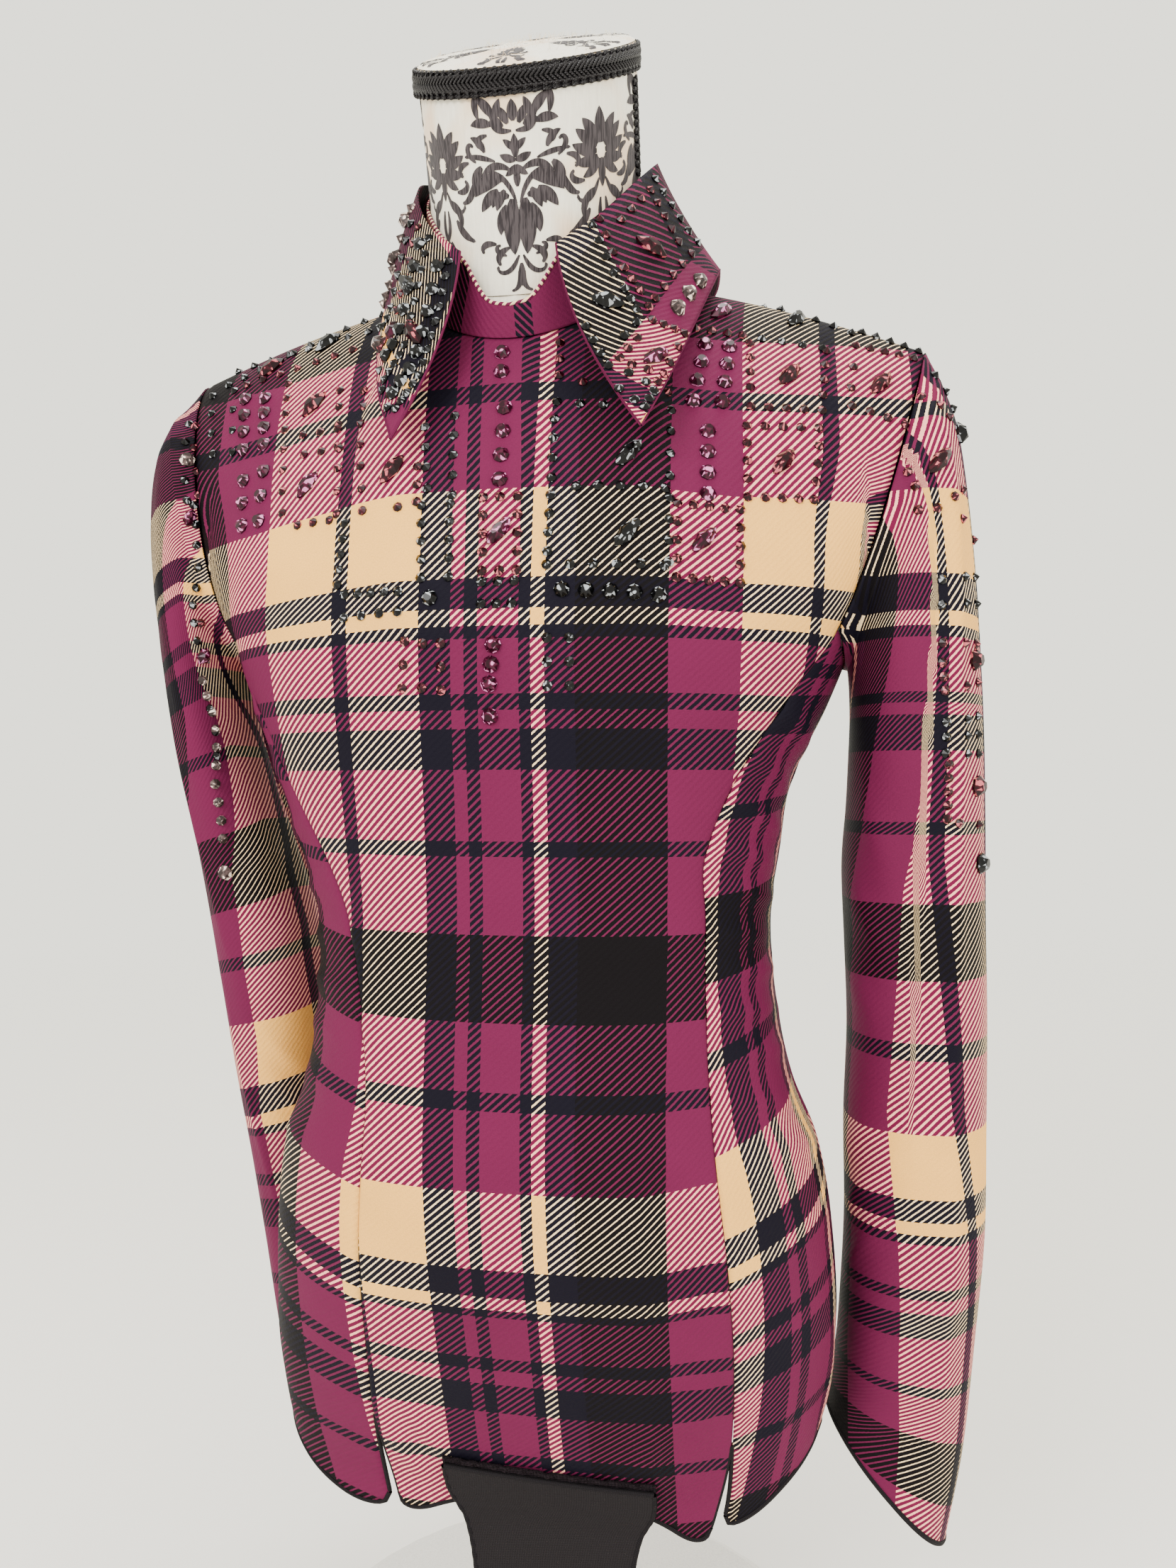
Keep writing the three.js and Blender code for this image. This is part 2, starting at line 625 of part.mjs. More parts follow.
add('strap_tape', wall((u, v) => {
  const x = STRAP_X + mix(TAPE_HALF, -TAPE_HALF, u);
  return aheadOfFront(x, mix(TAPE_LOW, TAPE_HIGH, v) + STRAP_TILT * x, TAPE_OUT);
}, 10, 2, -1, TAPE_THICK), COLOUR.strap);

add('crotch_strap', wall((u, v) => {
  const z = mix(STRAP_END, STRAP_TOP, v);
  const x = STRAP_X + STRAP.half(z) * mix(1, -1, u);
  return aheadOfFront(x, z + STRAP_TILT * x * v, TAPE_OUT + STRAP_GAP + CLOTH);
}, 10, 8, -1), COLOUR.strap);

// ---------- dress form ----------
const FORM_IN = CLOTH + FORM_CLEAR + 0.6;
const FORM_ARM = 0.97; // the arm plates stand a little inside the armholes
const NECK_CLEAR = 4.5; // the form's neck opening is smaller than the neckline all round
const NECK_QUARTER = 6; // columns of points in a quarter of the neck
const ARM_COLUMNS = 5; // columns of points from the neck to an arm plate

function insetTorso(phi, z, depth) {
  const across = torso(phi + STEP, z).sub(torso(phi - STEP, z));
  const up = torso(phi, z + 1).sub(torso(phi, z - 1));
  return torso(phi, z).addScaledVector(across.cross(up).normalize(), depth);
}

// Shares across a half front at which the form has a column of points.
const FORM_U = [];
for (let k = -NECK_QUARTER; k <= NECK_QUARTER; k += 1) FORM_U.push((k / NECK_QUARTER) * NECK_SHARE);
for (let k = 1; k <= ARM_COLUMNS; k += 1) {
  const u = mix(NECK_SHARE, FORM_ARM, k / ARM_COLUMNS);
  FORM_U.push(u);
  FORM_U.unshift(-u);
}

function formTop(face, u) {
  const edge = topEdge(face, u);
  const w = Math.min(1, Math.abs(u) / NECK_SHARE);
  const shrink = NECK_CLEAR * clamp01(1 - (Math.abs(u) - NECK_SHARE) / 0.2);
  const turn = w * (Math.PI / 2);
  edge.x -= Math.sign(u) * shrink * Math.sin(turn);
  edge.y *= 1 - NECK_CLEAR / ((NECK_FRONT.depth + NECK_BACK.depth) / 2);
  edge.z -= FORM_IN;
  return edge;
}

function formYoke(face, u, s) {
  const surface = (a, b) => yoke(face, a, b);
  const point = yoke(face, u, s);
  point.addScaledVector(normalOf(surface, u, s, face), -FORM_IN);
  return mixVec(point, formTop(face, u), s ** 4);
}

const SIDE_STEPS = 4;
const PLATE_BOW = { low: 9, high: 3 }; // how far an arm plate bulges at its foot and its head

function lowRing(z, depth) {
  const ring = [];
  const angle = (face, u) => {
    const names = face > 0 ? ['bustRight', 'bustLeft'] : ['bladeRight', 'bladeLeft'];
    return mix(face > 0 ? FRONT : BACK, seamAngle(names[u >= 0 ? 0 : 1], z), Math.abs(u));
  };
  const left = [angle(1, -FORM_ARM), angle(-1, -FORM_ARM)];
  const right = [angle(-1, FORM_ARM), angle(1, FORM_ARM) + RIGHT];
  const plate = ([from, to]) => {
    for (let k = 1; k < SIDE_STEPS; k += 1) {
      ring.push(insetTorso(mix(from, to, k / SIDE_STEPS), z, depth));
    }
  };
  [...FORM_U].reverse().forEach((u) => ring.push(insetTorso(angle(1, u), z, depth)));
  plate(left);
  FORM_U.forEach((u) => ring.push(insetTorso(angle(-1, u), z, depth)));
  plate(right);
  return ring;
}

function highRing(s) {
  const ring = [];
  const plate = (hand, from, to) => {
    for (let k = 1; k < SIDE_STEPS; k += 1) {
      const t = k / SIDE_STEPS;
      const point = mixVec(from, to, t);
      const bow = mix(PLATE_BOW.low, PLATE_BOW.high, s) * Math.sqrt(Math.max(0, 1 - s));
      point.x += hand * bow * Math.sin(Math.PI * t);
      ring.push(point);
    }
  };
  [...FORM_U].reverse().forEach((u) => ring.push(formYoke(1, u, s)));
  plate(-1, formYoke(1, -FORM_ARM, s), formYoke(-1, -FORM_ARM, s));
  FORM_U.forEach((u) => ring.push(formYoke(-1, u, s)));
  plate(1, formYoke(-1, FORM_ARM, s), formYoke(1, FORM_ARM, s));
  return ring;
}

// The neck leans forward; its rim is cut on a slope, low in front and high behind.
const NECK_TOP = 4;
const RIM_SLOPE = 0.16;

const NECK = table('level shift half middle depth zFront zBack', [
  [1, -3.2, 53.4, -9.5, 53, 752, 806],
  [2, -3.6, 53.4, -12, 54, 782, 846],
  [3, -4.8, 54, -17, 55, 816, 890],
  [4, -6.6, 55, -22, 56, 851, 932],
]);

function neckPoint(turn, level, out = 0) {
  const side = Math.sin(turn);
  const ahead = Math.cos(turn);
  const x = NECK.shift(level) + (NECK.half(level) + out) * side;
  const y = NECK.middle(level) - (NECK.depth(level) + out) * ahead;
  return vec(x, y, mix(NECK.zFront(level), NECK.zBack(level), (1 - ahead) / 2));
}

const neckMiddle = () => neckPoint(0, NECK_TOP).add(neckPoint(Math.PI, NECK_TOP)).multiplyScalar(0.5);

// Joins rings of points, leaves out faces that have closed to nothing, and caps both ends.
function rings(list, lowCentre, highCentre) {
  const points = [];
  const found = new Map();
  const index = (point) => {
    const key = point.toArray().map((n) => n.toFixed(3)).join();
    if (!found.has(key)) {
      found.set(key, points.length);
      points.push(point);
    }
    return found.get(key);
  };
  const faces = [];
  const face = (a, b, c) => {
    const [i, j, k] = [index(a), index(b), index(c)];
    if (i !== j && j !== k && k !== i) faces.push(i, j, k);
  };
  for (let r = 0; r + 1 < list.length; r += 1) {
    const [low, high] = [list[r], list[r + 1]];
    low.forEach((point, i) => {
      const next = (i + 1) % low.length;
      face(point, low[next], high[next]);
      face(point, high[next], high[i]);
    });
  }
  const [first, last] = [list[0], list[list.length - 1]];
  first.forEach((point, i) => face(lowCentre, first[(i + 1) % first.length], point));
  last.forEach((point, i) => face(highCentre, point, last[(i + 1) % last.length]));
  return solid(points, faces);
}

function dressForm() {
  const list = [lowRing(FORM_BOTTOM, FORM_IN + 16), lowRing(FORM_BOTTOM + 4, FORM_IN + 7)];
  [FORM_BOTTOM + 10, ...ROWS.slice(3)].forEach((z) => list.push(lowRing(z, FORM_IN)));
  const steps = 8;
  for (let k = 1; k <= steps; k += 1) list.push(highRing(k / steps));
  const base = list[list.length - 1];
  const count = FORM_U.length;
  const plate = SIDE_STEPS - 1;
  const turnOf = (column) => {
    const k = Math.min(NECK_QUARTER, Math.max(-NECK_QUARTER, column - ARM_COLUMNS - NECK_QUARTER));
    return (k / NECK_QUARTER) * (Math.PI / 2);
  };
  const turns = base.map((point, i) => {
    if (i < count) return turnOf(count - 1 - i);
    if (i < count + plate) return -Math.PI / 2;
    if (i < 2 * count + plate) return Math.PI - turnOf(i - count - plate);
    return Math.PI / 2;
  });
  for (let level = 1; level <= NECK_TOP; level += 0.5) {
    list.push(turns.map((turn) => neckPoint(turn, level)));
  }
  return rings(list, vec(0, 0, FORM_BOTTOM), neckMiddle());
}
add('form_body', dressForm(), COLOUR.form);

// A loop of points round the neck's rim, moved out from the neck and along it.
const NECK_STEPS = 36;
const BRAID_HIGH = 13;
const BRAID_THICK = 2.2;
const BRAID_TOP = -0.5; // the braid's upper edge from the rim

function neckLoop(out, offset) {
  const slope = vec(0, -RIM_SLOPE, 1).normalize();
  return Array.from({ length: NECK_STEPS }, (_, i) => {
    const turn = (i / NECK_STEPS) * 2 * Math.PI;
    return neckPoint(turn, NECK_TOP, out).addScaledVector(slope, offset);
  });
}

const outerLoop = [
  ...neckLoop(SEAM + BRAID_THICK, -BRAID_HIGH),
  ...neckLoop(SEAM + BRAID_THICK, BRAID_TOP),
];
const innerLoop = [...neckLoop(SEAM + 0.6, -BRAID_HIGH), ...neckLoop(SEAM + 0.2, BRAID_TOP)];
add('neck_braid', shell(outerLoop, innerLoop, NECK_STEPS, 1, true), COLOUR.braid);

// The neck's top is covered by a slightly crowned disc of the same cloth: size and rise of rings.
const CROWN_HIGH = 4;
const CROWN = [
  { size: 1, rise: 0 },
  { size: 1, rise: 1.5 },
  { size: 0.72, rise: 0.75 * CROWN_HIGH },
];

function crown() {
  const away = vec(0, -0.61, 0.79);
  const middle = neckMiddle().addScaledVector(away, SEAM);
  const list = CROWN.map(({ size, rise }) => neckLoop(0, 0).map((point) => {
    return point.addScaledVector(away, SEAM).sub(middle).multiplyScalar(size).add(middle)
      .addScaledVector(away, rise);
  }));
  return rings(list, middle, middle.clone().addScaledVector(away, CROWN_HIGH));
}
add('neck_cap', crown(), COLOUR.form);

// A narrow braid covers the neck cover's seam at the viewer's right.
const SIDE_BRAID = { turn: 1.45, half: 0.06, low: 2.85, high: 3.6, thick: 1.2 };

add('neck_side_braid', wall((u, v) => {
  const turn = SIDE_BRAID.turn + mix(-SIDE_BRAID.half, SIDE_BRAID.half, u);
  return neckPoint(turn, mix(SIDE_BRAID.low, SIDE_BRAID.high, v), SEAM + SIDE_BRAID.thick);
}, 2, 8, 1, SIDE_BRAID.thick), COLOUR.braid);

// ---------- low stand ----------
function turned(profile, segments) {
  const geometry = new THREE.LatheGeometry(profile.map(([r, z]) => new THREE.Vector2(r, z)), segments);
  geometry.rotateX(Math.PI / 2);
  return geometry;
}
const HUB_TOP = BASE_THICK + 12;
const FLANGE_TOP = FORM_BOTTOM - FLANGE_RADIUS * Math.sin(LEAN) - SEAM;

add('stand_base', turned([
  [0, 0],
  [BASE_RADIUS - 3, 0],
  [BASE_RADIUS, 3],
  [BASE_RADIUS, BASE_THICK - 6],
  [BASE_RADIUS - 8, BASE_THICK],
  [FLANGE_RADIUS + 16, BASE_THICK + 3],
  [FLANGE_RADIUS + 2, BASE_THICK + 6],
  [FLANGE_RADIUS, HUB_TOP],
  [0, HUB_TOP],
], 48), COLOUR.stand, 0.55, 0, part);

add('stand_pole', turned([
  [0, HUB_TOP + SEAM],
  [POLE_RADIUS, HUB_TOP + SEAM],
  [POLE_RADIUS, FLANGE_TOP - 14],
  [FLANGE_RADIUS, FLANGE_TOP - 10],
  [FLANGE_RADIUS, FLANGE_TOP],
  [0, FLANGE_TOP],
], 24), COLOUR.stand, 0.45, 0, part);

export default part;
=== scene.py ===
import math
from types import SimpleNamespace

import bpy
import numpy as np
from mathutils import Euler, Matrix, Vector


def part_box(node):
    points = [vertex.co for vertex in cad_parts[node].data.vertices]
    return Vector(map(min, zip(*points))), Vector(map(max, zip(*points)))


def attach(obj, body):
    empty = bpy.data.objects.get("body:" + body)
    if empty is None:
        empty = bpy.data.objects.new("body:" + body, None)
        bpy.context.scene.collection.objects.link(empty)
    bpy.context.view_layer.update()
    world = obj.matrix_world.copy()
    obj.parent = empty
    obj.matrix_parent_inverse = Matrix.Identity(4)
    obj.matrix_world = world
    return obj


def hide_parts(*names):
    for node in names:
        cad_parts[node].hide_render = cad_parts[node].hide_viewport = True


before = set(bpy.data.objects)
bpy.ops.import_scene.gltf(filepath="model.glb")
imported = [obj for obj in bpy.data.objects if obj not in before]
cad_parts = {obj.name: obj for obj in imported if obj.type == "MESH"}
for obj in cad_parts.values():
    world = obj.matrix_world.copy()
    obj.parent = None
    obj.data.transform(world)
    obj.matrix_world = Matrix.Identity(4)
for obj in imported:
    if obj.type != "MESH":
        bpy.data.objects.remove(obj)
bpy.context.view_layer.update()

bl_info = {
    "name": "Show Shirt Workroom",
    "version": (1, 0, 0),
    "blender": (4, 5, 0),
    "location": "3D View > Sidebar > Show Shirt",
    "description": "Cuts, sews and trims a plaid show shirt on its dress form",
    "category": "Object",
}

# ---------- where the shirt stands ----------
# The shirt is worked out upright in millimetres and leans back with its form by LEAN about the
# top of the pole. Its front faces -Y and +X is the viewer's right.
MM = 0.001
LEAN = math.radians(6)
FORM_BOTTOM = 204
BASE_LOW, BASE_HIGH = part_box("stand_base")
ORIGIN = (BASE_LOW + BASE_HIGH) / 2


def worn(points):
    """Points of the upright shirt in millimetres as they stand in the frame, in metres."""
    p = np.asarray(points, float)
    rise = p[..., 2] - FORM_BOTTOM
    y = p[..., 1] * math.cos(LEAN) + rise * math.sin(LEAN)
    z = FORM_BOTTOM - p[..., 1] * math.sin(LEAN) + rise * math.cos(LEAN)
    return np.stack([p[..., 0] * MM + ORIGIN.x, y * MM + ORIGIN.y, z * MM], -1)


# ---------- small tools ----------
def ease(t):
    t = np.clip(t, 0, 1)
    return t * t * (3 - 2 * t)


def mix(a, b, t):
    return a + (b - a) * t


def spline(at, values):
    """A smooth function through values at the given places, held at both ends."""
    slopes = np.empty_like(values)
    last = len(at) - 1
    for j in range(last + 1):
        a, b = max(0, j - 1), min(last, j + 1)
        slopes[j] = (values[b] - values[a]) / (at[b] - at[a])

    def height(x):
        x = np.clip(np.asarray(x, float), at[0], at[-1])
        i = np.clip(np.searchsorted(at, x, side="right") - 1, 0, last - 1)
        span = at[i + 1] - at[i]
        t = (x - at[i]) / span
        t2, t3 = t * t, t * t * t
        start = (2 * t3 - 3 * t2 + 1) * values[i] + (t3 - 2 * t2 + t) * span * slopes[i]
        return start + (3 * t2 - 2 * t3) * values[i + 1] + (t3 - t2) * span * slopes[i + 1]

    return height


def columns(names, rows):
    """Rows of numbers under named columns: a smooth function of the first one for each other."""
    table = np.array(rows, float)
    return SimpleNamespace(**{name: spline(table[:, 0], table[:, k])
                              for k, name in enumerate(names.split()) if k})


def unit(v):
    return v / np.maximum(np.linalg.norm(v, axis=-1, keepdims=True), 1e-9)


def facing(points, side):
    """Unit normals of a grid of points, rows first; side is 1 or -1."""
    return unit(np.cross(np.gradient(points, axis=1), np.gradient(points, axis=0))) * side


def lengths(points, axis):
    """Distance travelled along an axis of a grid of points, from 0."""
    steps = np.linalg.norm(np.diff(points, axis=axis), axis=-1)
    pad = [(0, 0)] * steps.ndim
    pad[axis] = (1, 0)
    return np.cumsum(np.pad(steps, pad), axis=axis)


def ridges(across, up, rows):
    """Height of soft folds; each row gives both ends of a fold, its width and its height."""
    total = np.zeros(np.broadcast(across, up).shape)
    for x0, y0, x1, y1, wide, high in rows:
        dx, dy = x1 - x0, y1 - y0
        t = np.clip(((across - x0) * dx + (up - y0) * dy) / (dx * dx + dy * dy), 0, 1)
        gap = np.hypot(across - x0 - t * dx, up - y0 - t * dy)
        total += high * np.exp(-(gap / wide) ** 2) * np.sin(math.pi * (0.1 + 0.8 * t))
    return total


# ---------- the worn body of the shirt ----------
OVAL = 2.4
ARM_Z = 592
ARMPIT_DROP = 14
SEAM = 0.3
SLIT_TOP = 212
SLIT_OPEN = 5
ZIP_BOTTOM = 335
ZIP_HALF = 3
NECK_X = -3
NECK_HALF = 60
NECK_SIDE_Z = 776
NECK_SHARE = 0.4
SHOULDER = {1: (191, 734), -1: (-190, 739)}
TOP_Z = 620
BODY = columns("z left right front back seamLeft seamRight seamBack", [
    [120, 128, 122, 20, 80, 72, 80, 90],
    [160, 136, 130, 31, 86, 77, 92, 94],
    [200, 143, 140, 48, 91, 80, 98, 97],
    [250, 145, 148, 68, 96, 79, 100, 99],
    [300, 142, 146, 86, 95, 76, 98, 96],
    [340, 136, 139, 94, 88, 72, 94, 90],
    [370, 125, 127, 95, 80, 70, 91, 82],
    [400, 119, 120, 94, 72, 72, 89, 76],
    [435, 117, 116, 92, 66, 78, 88, 74],
    [460, 119, 116, 92, 64, 84, 88, 76],
    [486, 127, 120, 94, 65, 96, 88, 80],
    [522, 139, 126, 99, 70, 118, 102, 94],
    [560, 152, 144, 105, 78, 138, 126, 116],
    [592, 163, 156, 107, 84, 156, 148, 140],
    [TOP_Z, 166, 160, 107, 86, 158, 152, 142],
])
FRONT, LEFT, BACK, RIGHT = math.pi / 2, math.pi, 1.5 * math.pi, 2 * math.pi


def torso(phi, z):
    """The body's outer face by angle, 0 at the right side seam and 90 degrees in front."""
    c, s = np.cos(phi), np.sin(phi)
    half = np.where(c > 0, BODY.right(z), BODY.left(z))
    depth = np.where(s > 0, BODY.front(z), BODY.back(z))
    x = np.sign(c) * half * np.abs(c) ** (2 / OVAL)
    y = -np.sign(s) * depth * np.abs(s) ** (2 / OVAL)
    return np.stack([x, y, z + 0 * x], -1)


def seam_angle(name, z):
    """Angle of each long seam at a height."""
    if name in ("sideRight", "sideRightEnd", "sideLeft"):
        return {"sideRight": 0, "sideRightEnd": RIGHT, "sideLeft": LEFT}[name] + 0 * z
    if name in ("zipLeft", "zipRight"):
        half = BODY.left(z) if name == "zipLeft" else BODY.right(z)
        reach = SEAM / 2 + ZIP_HALF * ease((z - ZIP_BOTTOM + 8) / 8)
        return BACK + (-1 if name == "zipLeft" else 1) * np.arcsin((reach / half) ** (OVAL / 2))
    seam, half = {
        "bustRight": (BODY.seamRight, BODY.right), "bustLeft": (BODY.seamLeft, BODY.left),
        "bladeRight": (BODY.seamBack, BODY.right), "bladeLeft": (BODY.seamBack, BODY.left),
    }[name]
    turn = np.arccos(np.minimum(1, seam(z) / half(z)) ** (OVAL / 2))
    return {"bustRight": turn, "bustLeft": LEFT - turn,
            "bladeLeft": LEFT + turn, "bladeRight": RIGHT - turn}[name]


def top_edge(face, u):
    """Neckline and shoulder seam, u from -1 to 1 between the armholes."""
    w = np.abs(u)
    hand = np.where(u >= 0, 1, -1)
    turn = np.minimum(w / NECK_SHARE, 1) * math.pi / 2
    depth, drop = (-70, 47) if face > 0 else (46, 8)
    low = np.stack([NECK_X + hand * NECK_HALF * np.sin(turn), depth * np.cos(turn),
                    NECK_SIDE_Z - drop * np.abs(np.cos(turn)) ** 1.5], -1)
    along = (w - NECK_SHARE) / (1 - NECK_SHARE)
    tip_x = np.where(hand > 0, SHOULDER[1][0], SHOULDER[-1][0])
    tip_z = np.where(hand > 0, SHOULDER[1][1], SHOULDER[-1][1])
    high = np.stack([mix(NECK_X + hand * NECK_HALF, tip_x, along), 0 * along,
                     mix(NECK_SIDE_Z, tip_z, along) + 3 * np.sin(along * math.pi)], -1)
    return np.where((w <= NECK_SHARE)[..., None], low, high)


def yoke(face, u, s):
    """Front or back above the bust line, s from 0 there to 1 at the neck and shoulders."""
    u, s = np.broadcast_arrays(np.asarray(u, float), np.asarray(s, float))
    w = np.abs(u)[..., None]
    hand = np.where(u >= 0, 1, -1)
    names = ("bustRight", "bustLeft") if face > 0 else ("bladeRight", "bladeLeft")
    middle = FRONT if face > 0 else BACK
    level = np.full(u.shape, float(ARM_Z))
    end = np.where(u >= 0, seam_angle(names[0], level), seam_angle(names[1], level))
    start = torso(mix(middle, end, np.abs(u)), level)
    flare = np.stack([hand * 58.0, np.full(u.shape, -45.0 * face), np.full(u.shape, 110.0)], -1)
    rise = mix(np.array([0, 0, 150.0]), flare, w ** 3)
    over = ease((w / NECK_SHARE) ** 1.5)
    finish = mix(np.array([0, 50.0 * face, 120.0]),
                 mix(150, 90, w ** 2) * np.array([0, face, 0.0]), over)
    s = s[..., None]
    s2, s3 = s * s, s * s * s
    return (start * (2 * s3 - 3 * s2 + 1) + rise * (s3 - 2 * s2 + s)
            + top_edge(face, u) * (3 * s2 - 2 * s3) + finish * (s3 - s2))


# ---------- cloth coordinates: u across the cloth and w down it, in millimetres ----------
# The plaid's repeat across, as (width, colour name), from the left edge of a broad cream band.
WARP = [(37, "cream"), (7.2, "navy"), (36.4, "cream"), (15.3, "navy"), (6.4, "plum"),
        (6.4, "navy"), (18.3, "plum"), (5.2, "navy"), (5.8, "cream"), (13.9, "navy"),
        (40.5, "black"), (33.9, "plum")]
WARP_START = -118.0
# The repeat down the cloth, from the top of a broad cream band.
WEFT = [(38.2, "cream"), (15.2, "navy"), (7.0, "cream"), (5.0, "navy"), (25.0, "plum"),
        (7.6, "navy"), (8.2, "plum"), (19.0, "navy"), (31.0, "plum"), (6.5, "navy"),
        (36.5, "plum"), (39.0, "black"), (31.0, "plum"), (8.0, "navy"), (37.7, "plum")]



def stripe_edges(stripes, start):
    """Distances of the stripes' edges over three repeats, the middle one from start."""
    widths = [width for width, _ in stripes] * 3
    return start - sum(widths) / 3 + np.concatenate([[0], np.cumsum(widths)])


ACROSS = stripe_edges(WARP, WARP_START)
ALONG = stripe_edges(WEFT, 0)


def at_stripe(edges, number):
    """Distance of a place counted in stripes: 6.5 is the middle of the stripe after six others."""
    return np.interp(number, np.arange(len(edges)) - len(edges) // 3, edges)


GIRTH_Z = np.arange(110, TOP_Z + 1, 10.0)
GIRTH_PHI = np.linspace(-FRONT, BACK, 1441)


def girth_table():
    ring = torso(GIRTH_PHI[None, :], GIRTH_Z[:, None] + 0 * GIRTH_PHI[None, :])
    run = lengths(ring, 1)
    middle = run[:, [int(np.argmin(np.abs(GIRTH_PHI - FRONT)))]]
    return middle - run


GIRTH = girth_table()


def girth(phi, z):
    """Distance round the body from the centre front, positive to the viewer's right."""
    turn = (np.asarray(phi, float) + FRONT) % RIGHT / (GIRTH_PHI[1] - GIRTH_PHI[0])
    row = np.clip((z - GIRTH_Z[0]) / 10, 0, len(GIRTH_Z) - 1.001)
    i, j = np.clip(turn.astype(int), 0, len(GIRTH_PHI) - 2), row.astype(int)
    a, b = turn - i, row - j
    low = mix(GIRTH[j, i], GIRTH[j, i + 1], a)
    return mix(low, mix(GIRTH[j + 1, i], GIRTH[j + 1, i + 1], a), b)


# Heights on the front and the distance down the cloth from the top of its upper cream band.
DOWN = np.array([
    [776, -122], [729.3, -71.5], [704.5, -45.7], [695.6, -37.7], [651.2, 0], [611.5, 38.2],
    [597.5, 53.4], [590.7, 60.4], [584.7, 65.4], [560.3, 90.4], [553, 98], [545.1, 106.2],
    [526.6, 125.2], [494.2, 156.2], [488.2, 162.7], [451.9, 199.2], [412.9, 238.2],
    [381.8, 269.2], [373.9, 277.2], [336.2, 314.9], [299.2, 353.1], [284, 368.3],
    [277.4, 375.3], [273.4, 380.3], [249.6, 405.3], [242.4, 412.9], [234.4, 421.1],
    [216.6, 440.1], [190.8, 471.1], [184.2, 477.6], [120, 552],
])


def down(z):
    """Distance down the cloth at a height on the body."""
    return np.interp(-z, -DOWN[:, 0], DOWN[:, 1])


def front_across(x, z):
    """Distance across the front's cloth; its lines stay upright over the upper chest."""
    low = np.minimum(z, TOP_Z)
    half = np.where(x > 0, BODY.right(low), BODY.left(low))
    phi = np.arccos(np.sign(x) * np.minimum(1, np.abs(x) / half) ** (OVAL / 2))
    s = girth(phi, low)
    edge = 105.0
    inner = np.clip(x, -edge, edge)
    half = np.where(x > 0, BODY.right(TOP_Z), BODY.left(TOP_Z))
    phi = np.arccos(np.sign(inner) * (np.abs(inner) / half) ** (OVAL / 2))
    top = girth(phi, TOP_Z + 0 * x) + (x - inner) * 1.03
    s = mix(s, top, ease((z - TOP_Z) / 60))
    s = np.where(s < -80, -80 + (s + 80) * 0.86, s)
    sway = np.interp(z, [205, TOP_Z, 651, 697, 729], [4, 0, 1.3, 4.6, 7])
    near = np.where(z > TOP_Z, np.interp(x, [5, 14, 60], [1, 0.3, 0.4]), 1)
    return s + sway * near


# ---------- meshes of cloth ----------
CLOTH = {}


def link(name, verts, faces, smooth=True):
    mesh = bpy.data.meshes.new(name)
    mesh.from_pydata(verts.tolist(), [], faces.tolist() if hasattr(faces, "tolist") else faces)
    mesh.polygons.foreach_set("use_smooth", [smooth] * len(mesh.polygons))
    mesh.update()
    piece = bpy.data.objects.new(name, mesh)
    bpy.context.scene.collection.objects.link(piece)
    return piece


def finish_piece(piece, material, slot, *nodes):
    """Gives a piece its material, rides it and hides what it stands for; the slot is not used."""
    piece.data.materials.clear()
    piece.data.materials.append(material)
    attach(piece, "root")
    if nodes:
        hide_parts(*nodes)
    return piece


def set_map(mesh, name, corners):
    layer = mesh.uv_layers.new(name=name)
    layer.uv.foreach_set("vector", np.asarray(corners, np.float32).ravel())


def cloth_piece(name, points, side, cloth, thick):
    """A closed wall of cloth from a grid of points on its outer face, with its cloth map."""
    rows, cols = points.shape[:2]
    normals = facing(points, side)
    inner = points - normals * thick
    count = rows * cols
    at = np.arange(count).reshape(rows, cols)
    outer = np.stack([at[:-1, :-1], at[:-1, 1:], at[1:, 1:], at[1:, :-1]], -1).reshape(-1, 4)
    quads = [outer, outer[:, ::-1] + count]
    step = 0.006
    place = np.stack(np.meshgrid(np.linspace(0.01, 0.78, cols), np.linspace(0.01, 0.99, rows)), -1)
    hidden = place * [0.22, 1] + [0.795, 0]
    spots = [place.reshape(-1, 2)[outer], hidden.reshape(-1, 2)[outer[:, ::-1]]]
    edges = [(at[0, ::-1], (0, -1)), (at[-1], (0, 1)), (at[:, 0], (-1, 0)), (at[::-1, -1], (1, 0))]
    for line, out in edges:
        a, b = line[:-1], line[1:]
        quads.append(np.stack([b, a, a + count, b + count], -1)[:, ::-1])
        pa, pb = place.reshape(-1, 2)[a], place.reshape(-1, 2)[b]
        off = np.array(out) * step
        spots.append(np.stack([pb, pa, pa + off, pb + off], 1)[:, ::-1])
    faces = np.concatenate(quads)
    corners = np.concatenate(spots)
    if side > 0:
        faces, corners = faces[:, ::-1], corners[:, ::-1]
    piece = link(name, worn(np.concatenate([points.reshape(-1, 3), inner.reshape(-1, 3)])), faces)
    flat = np.tile(cloth.reshape(-1, 2), (2, 1)) * MM
    set_map(piece.data, "cloth", flat[faces.ravel()])
    set_map(piece.data, "OFBake", corners)
    CLOTH[name] = SimpleNamespace(points=points, normals=normals, cloth=cloth)
    return piece


def flat_size(points):
    """Width and length of a grid's cloth laid flat, in metres, and its area."""
    wide = lengths(points, 1)[:, -1].max() * MM
    long = lengths(points, 0)[-1].max() * MM
    a = np.cross(points[1:, :-1] - points[:-1, :-1], points[:-1, 1:] - points[:-1, :-1])
    b = np.cross(points[1:, :-1] - points[1:, 1:], points[:-1, 1:] - points[1:, 1:])
    area = (np.linalg.norm(a, axis=-1).sum() + np.linalg.norm(b, axis=-1).sum()) / 2 * MM * MM
    return wide, long, min(area, wide * long)


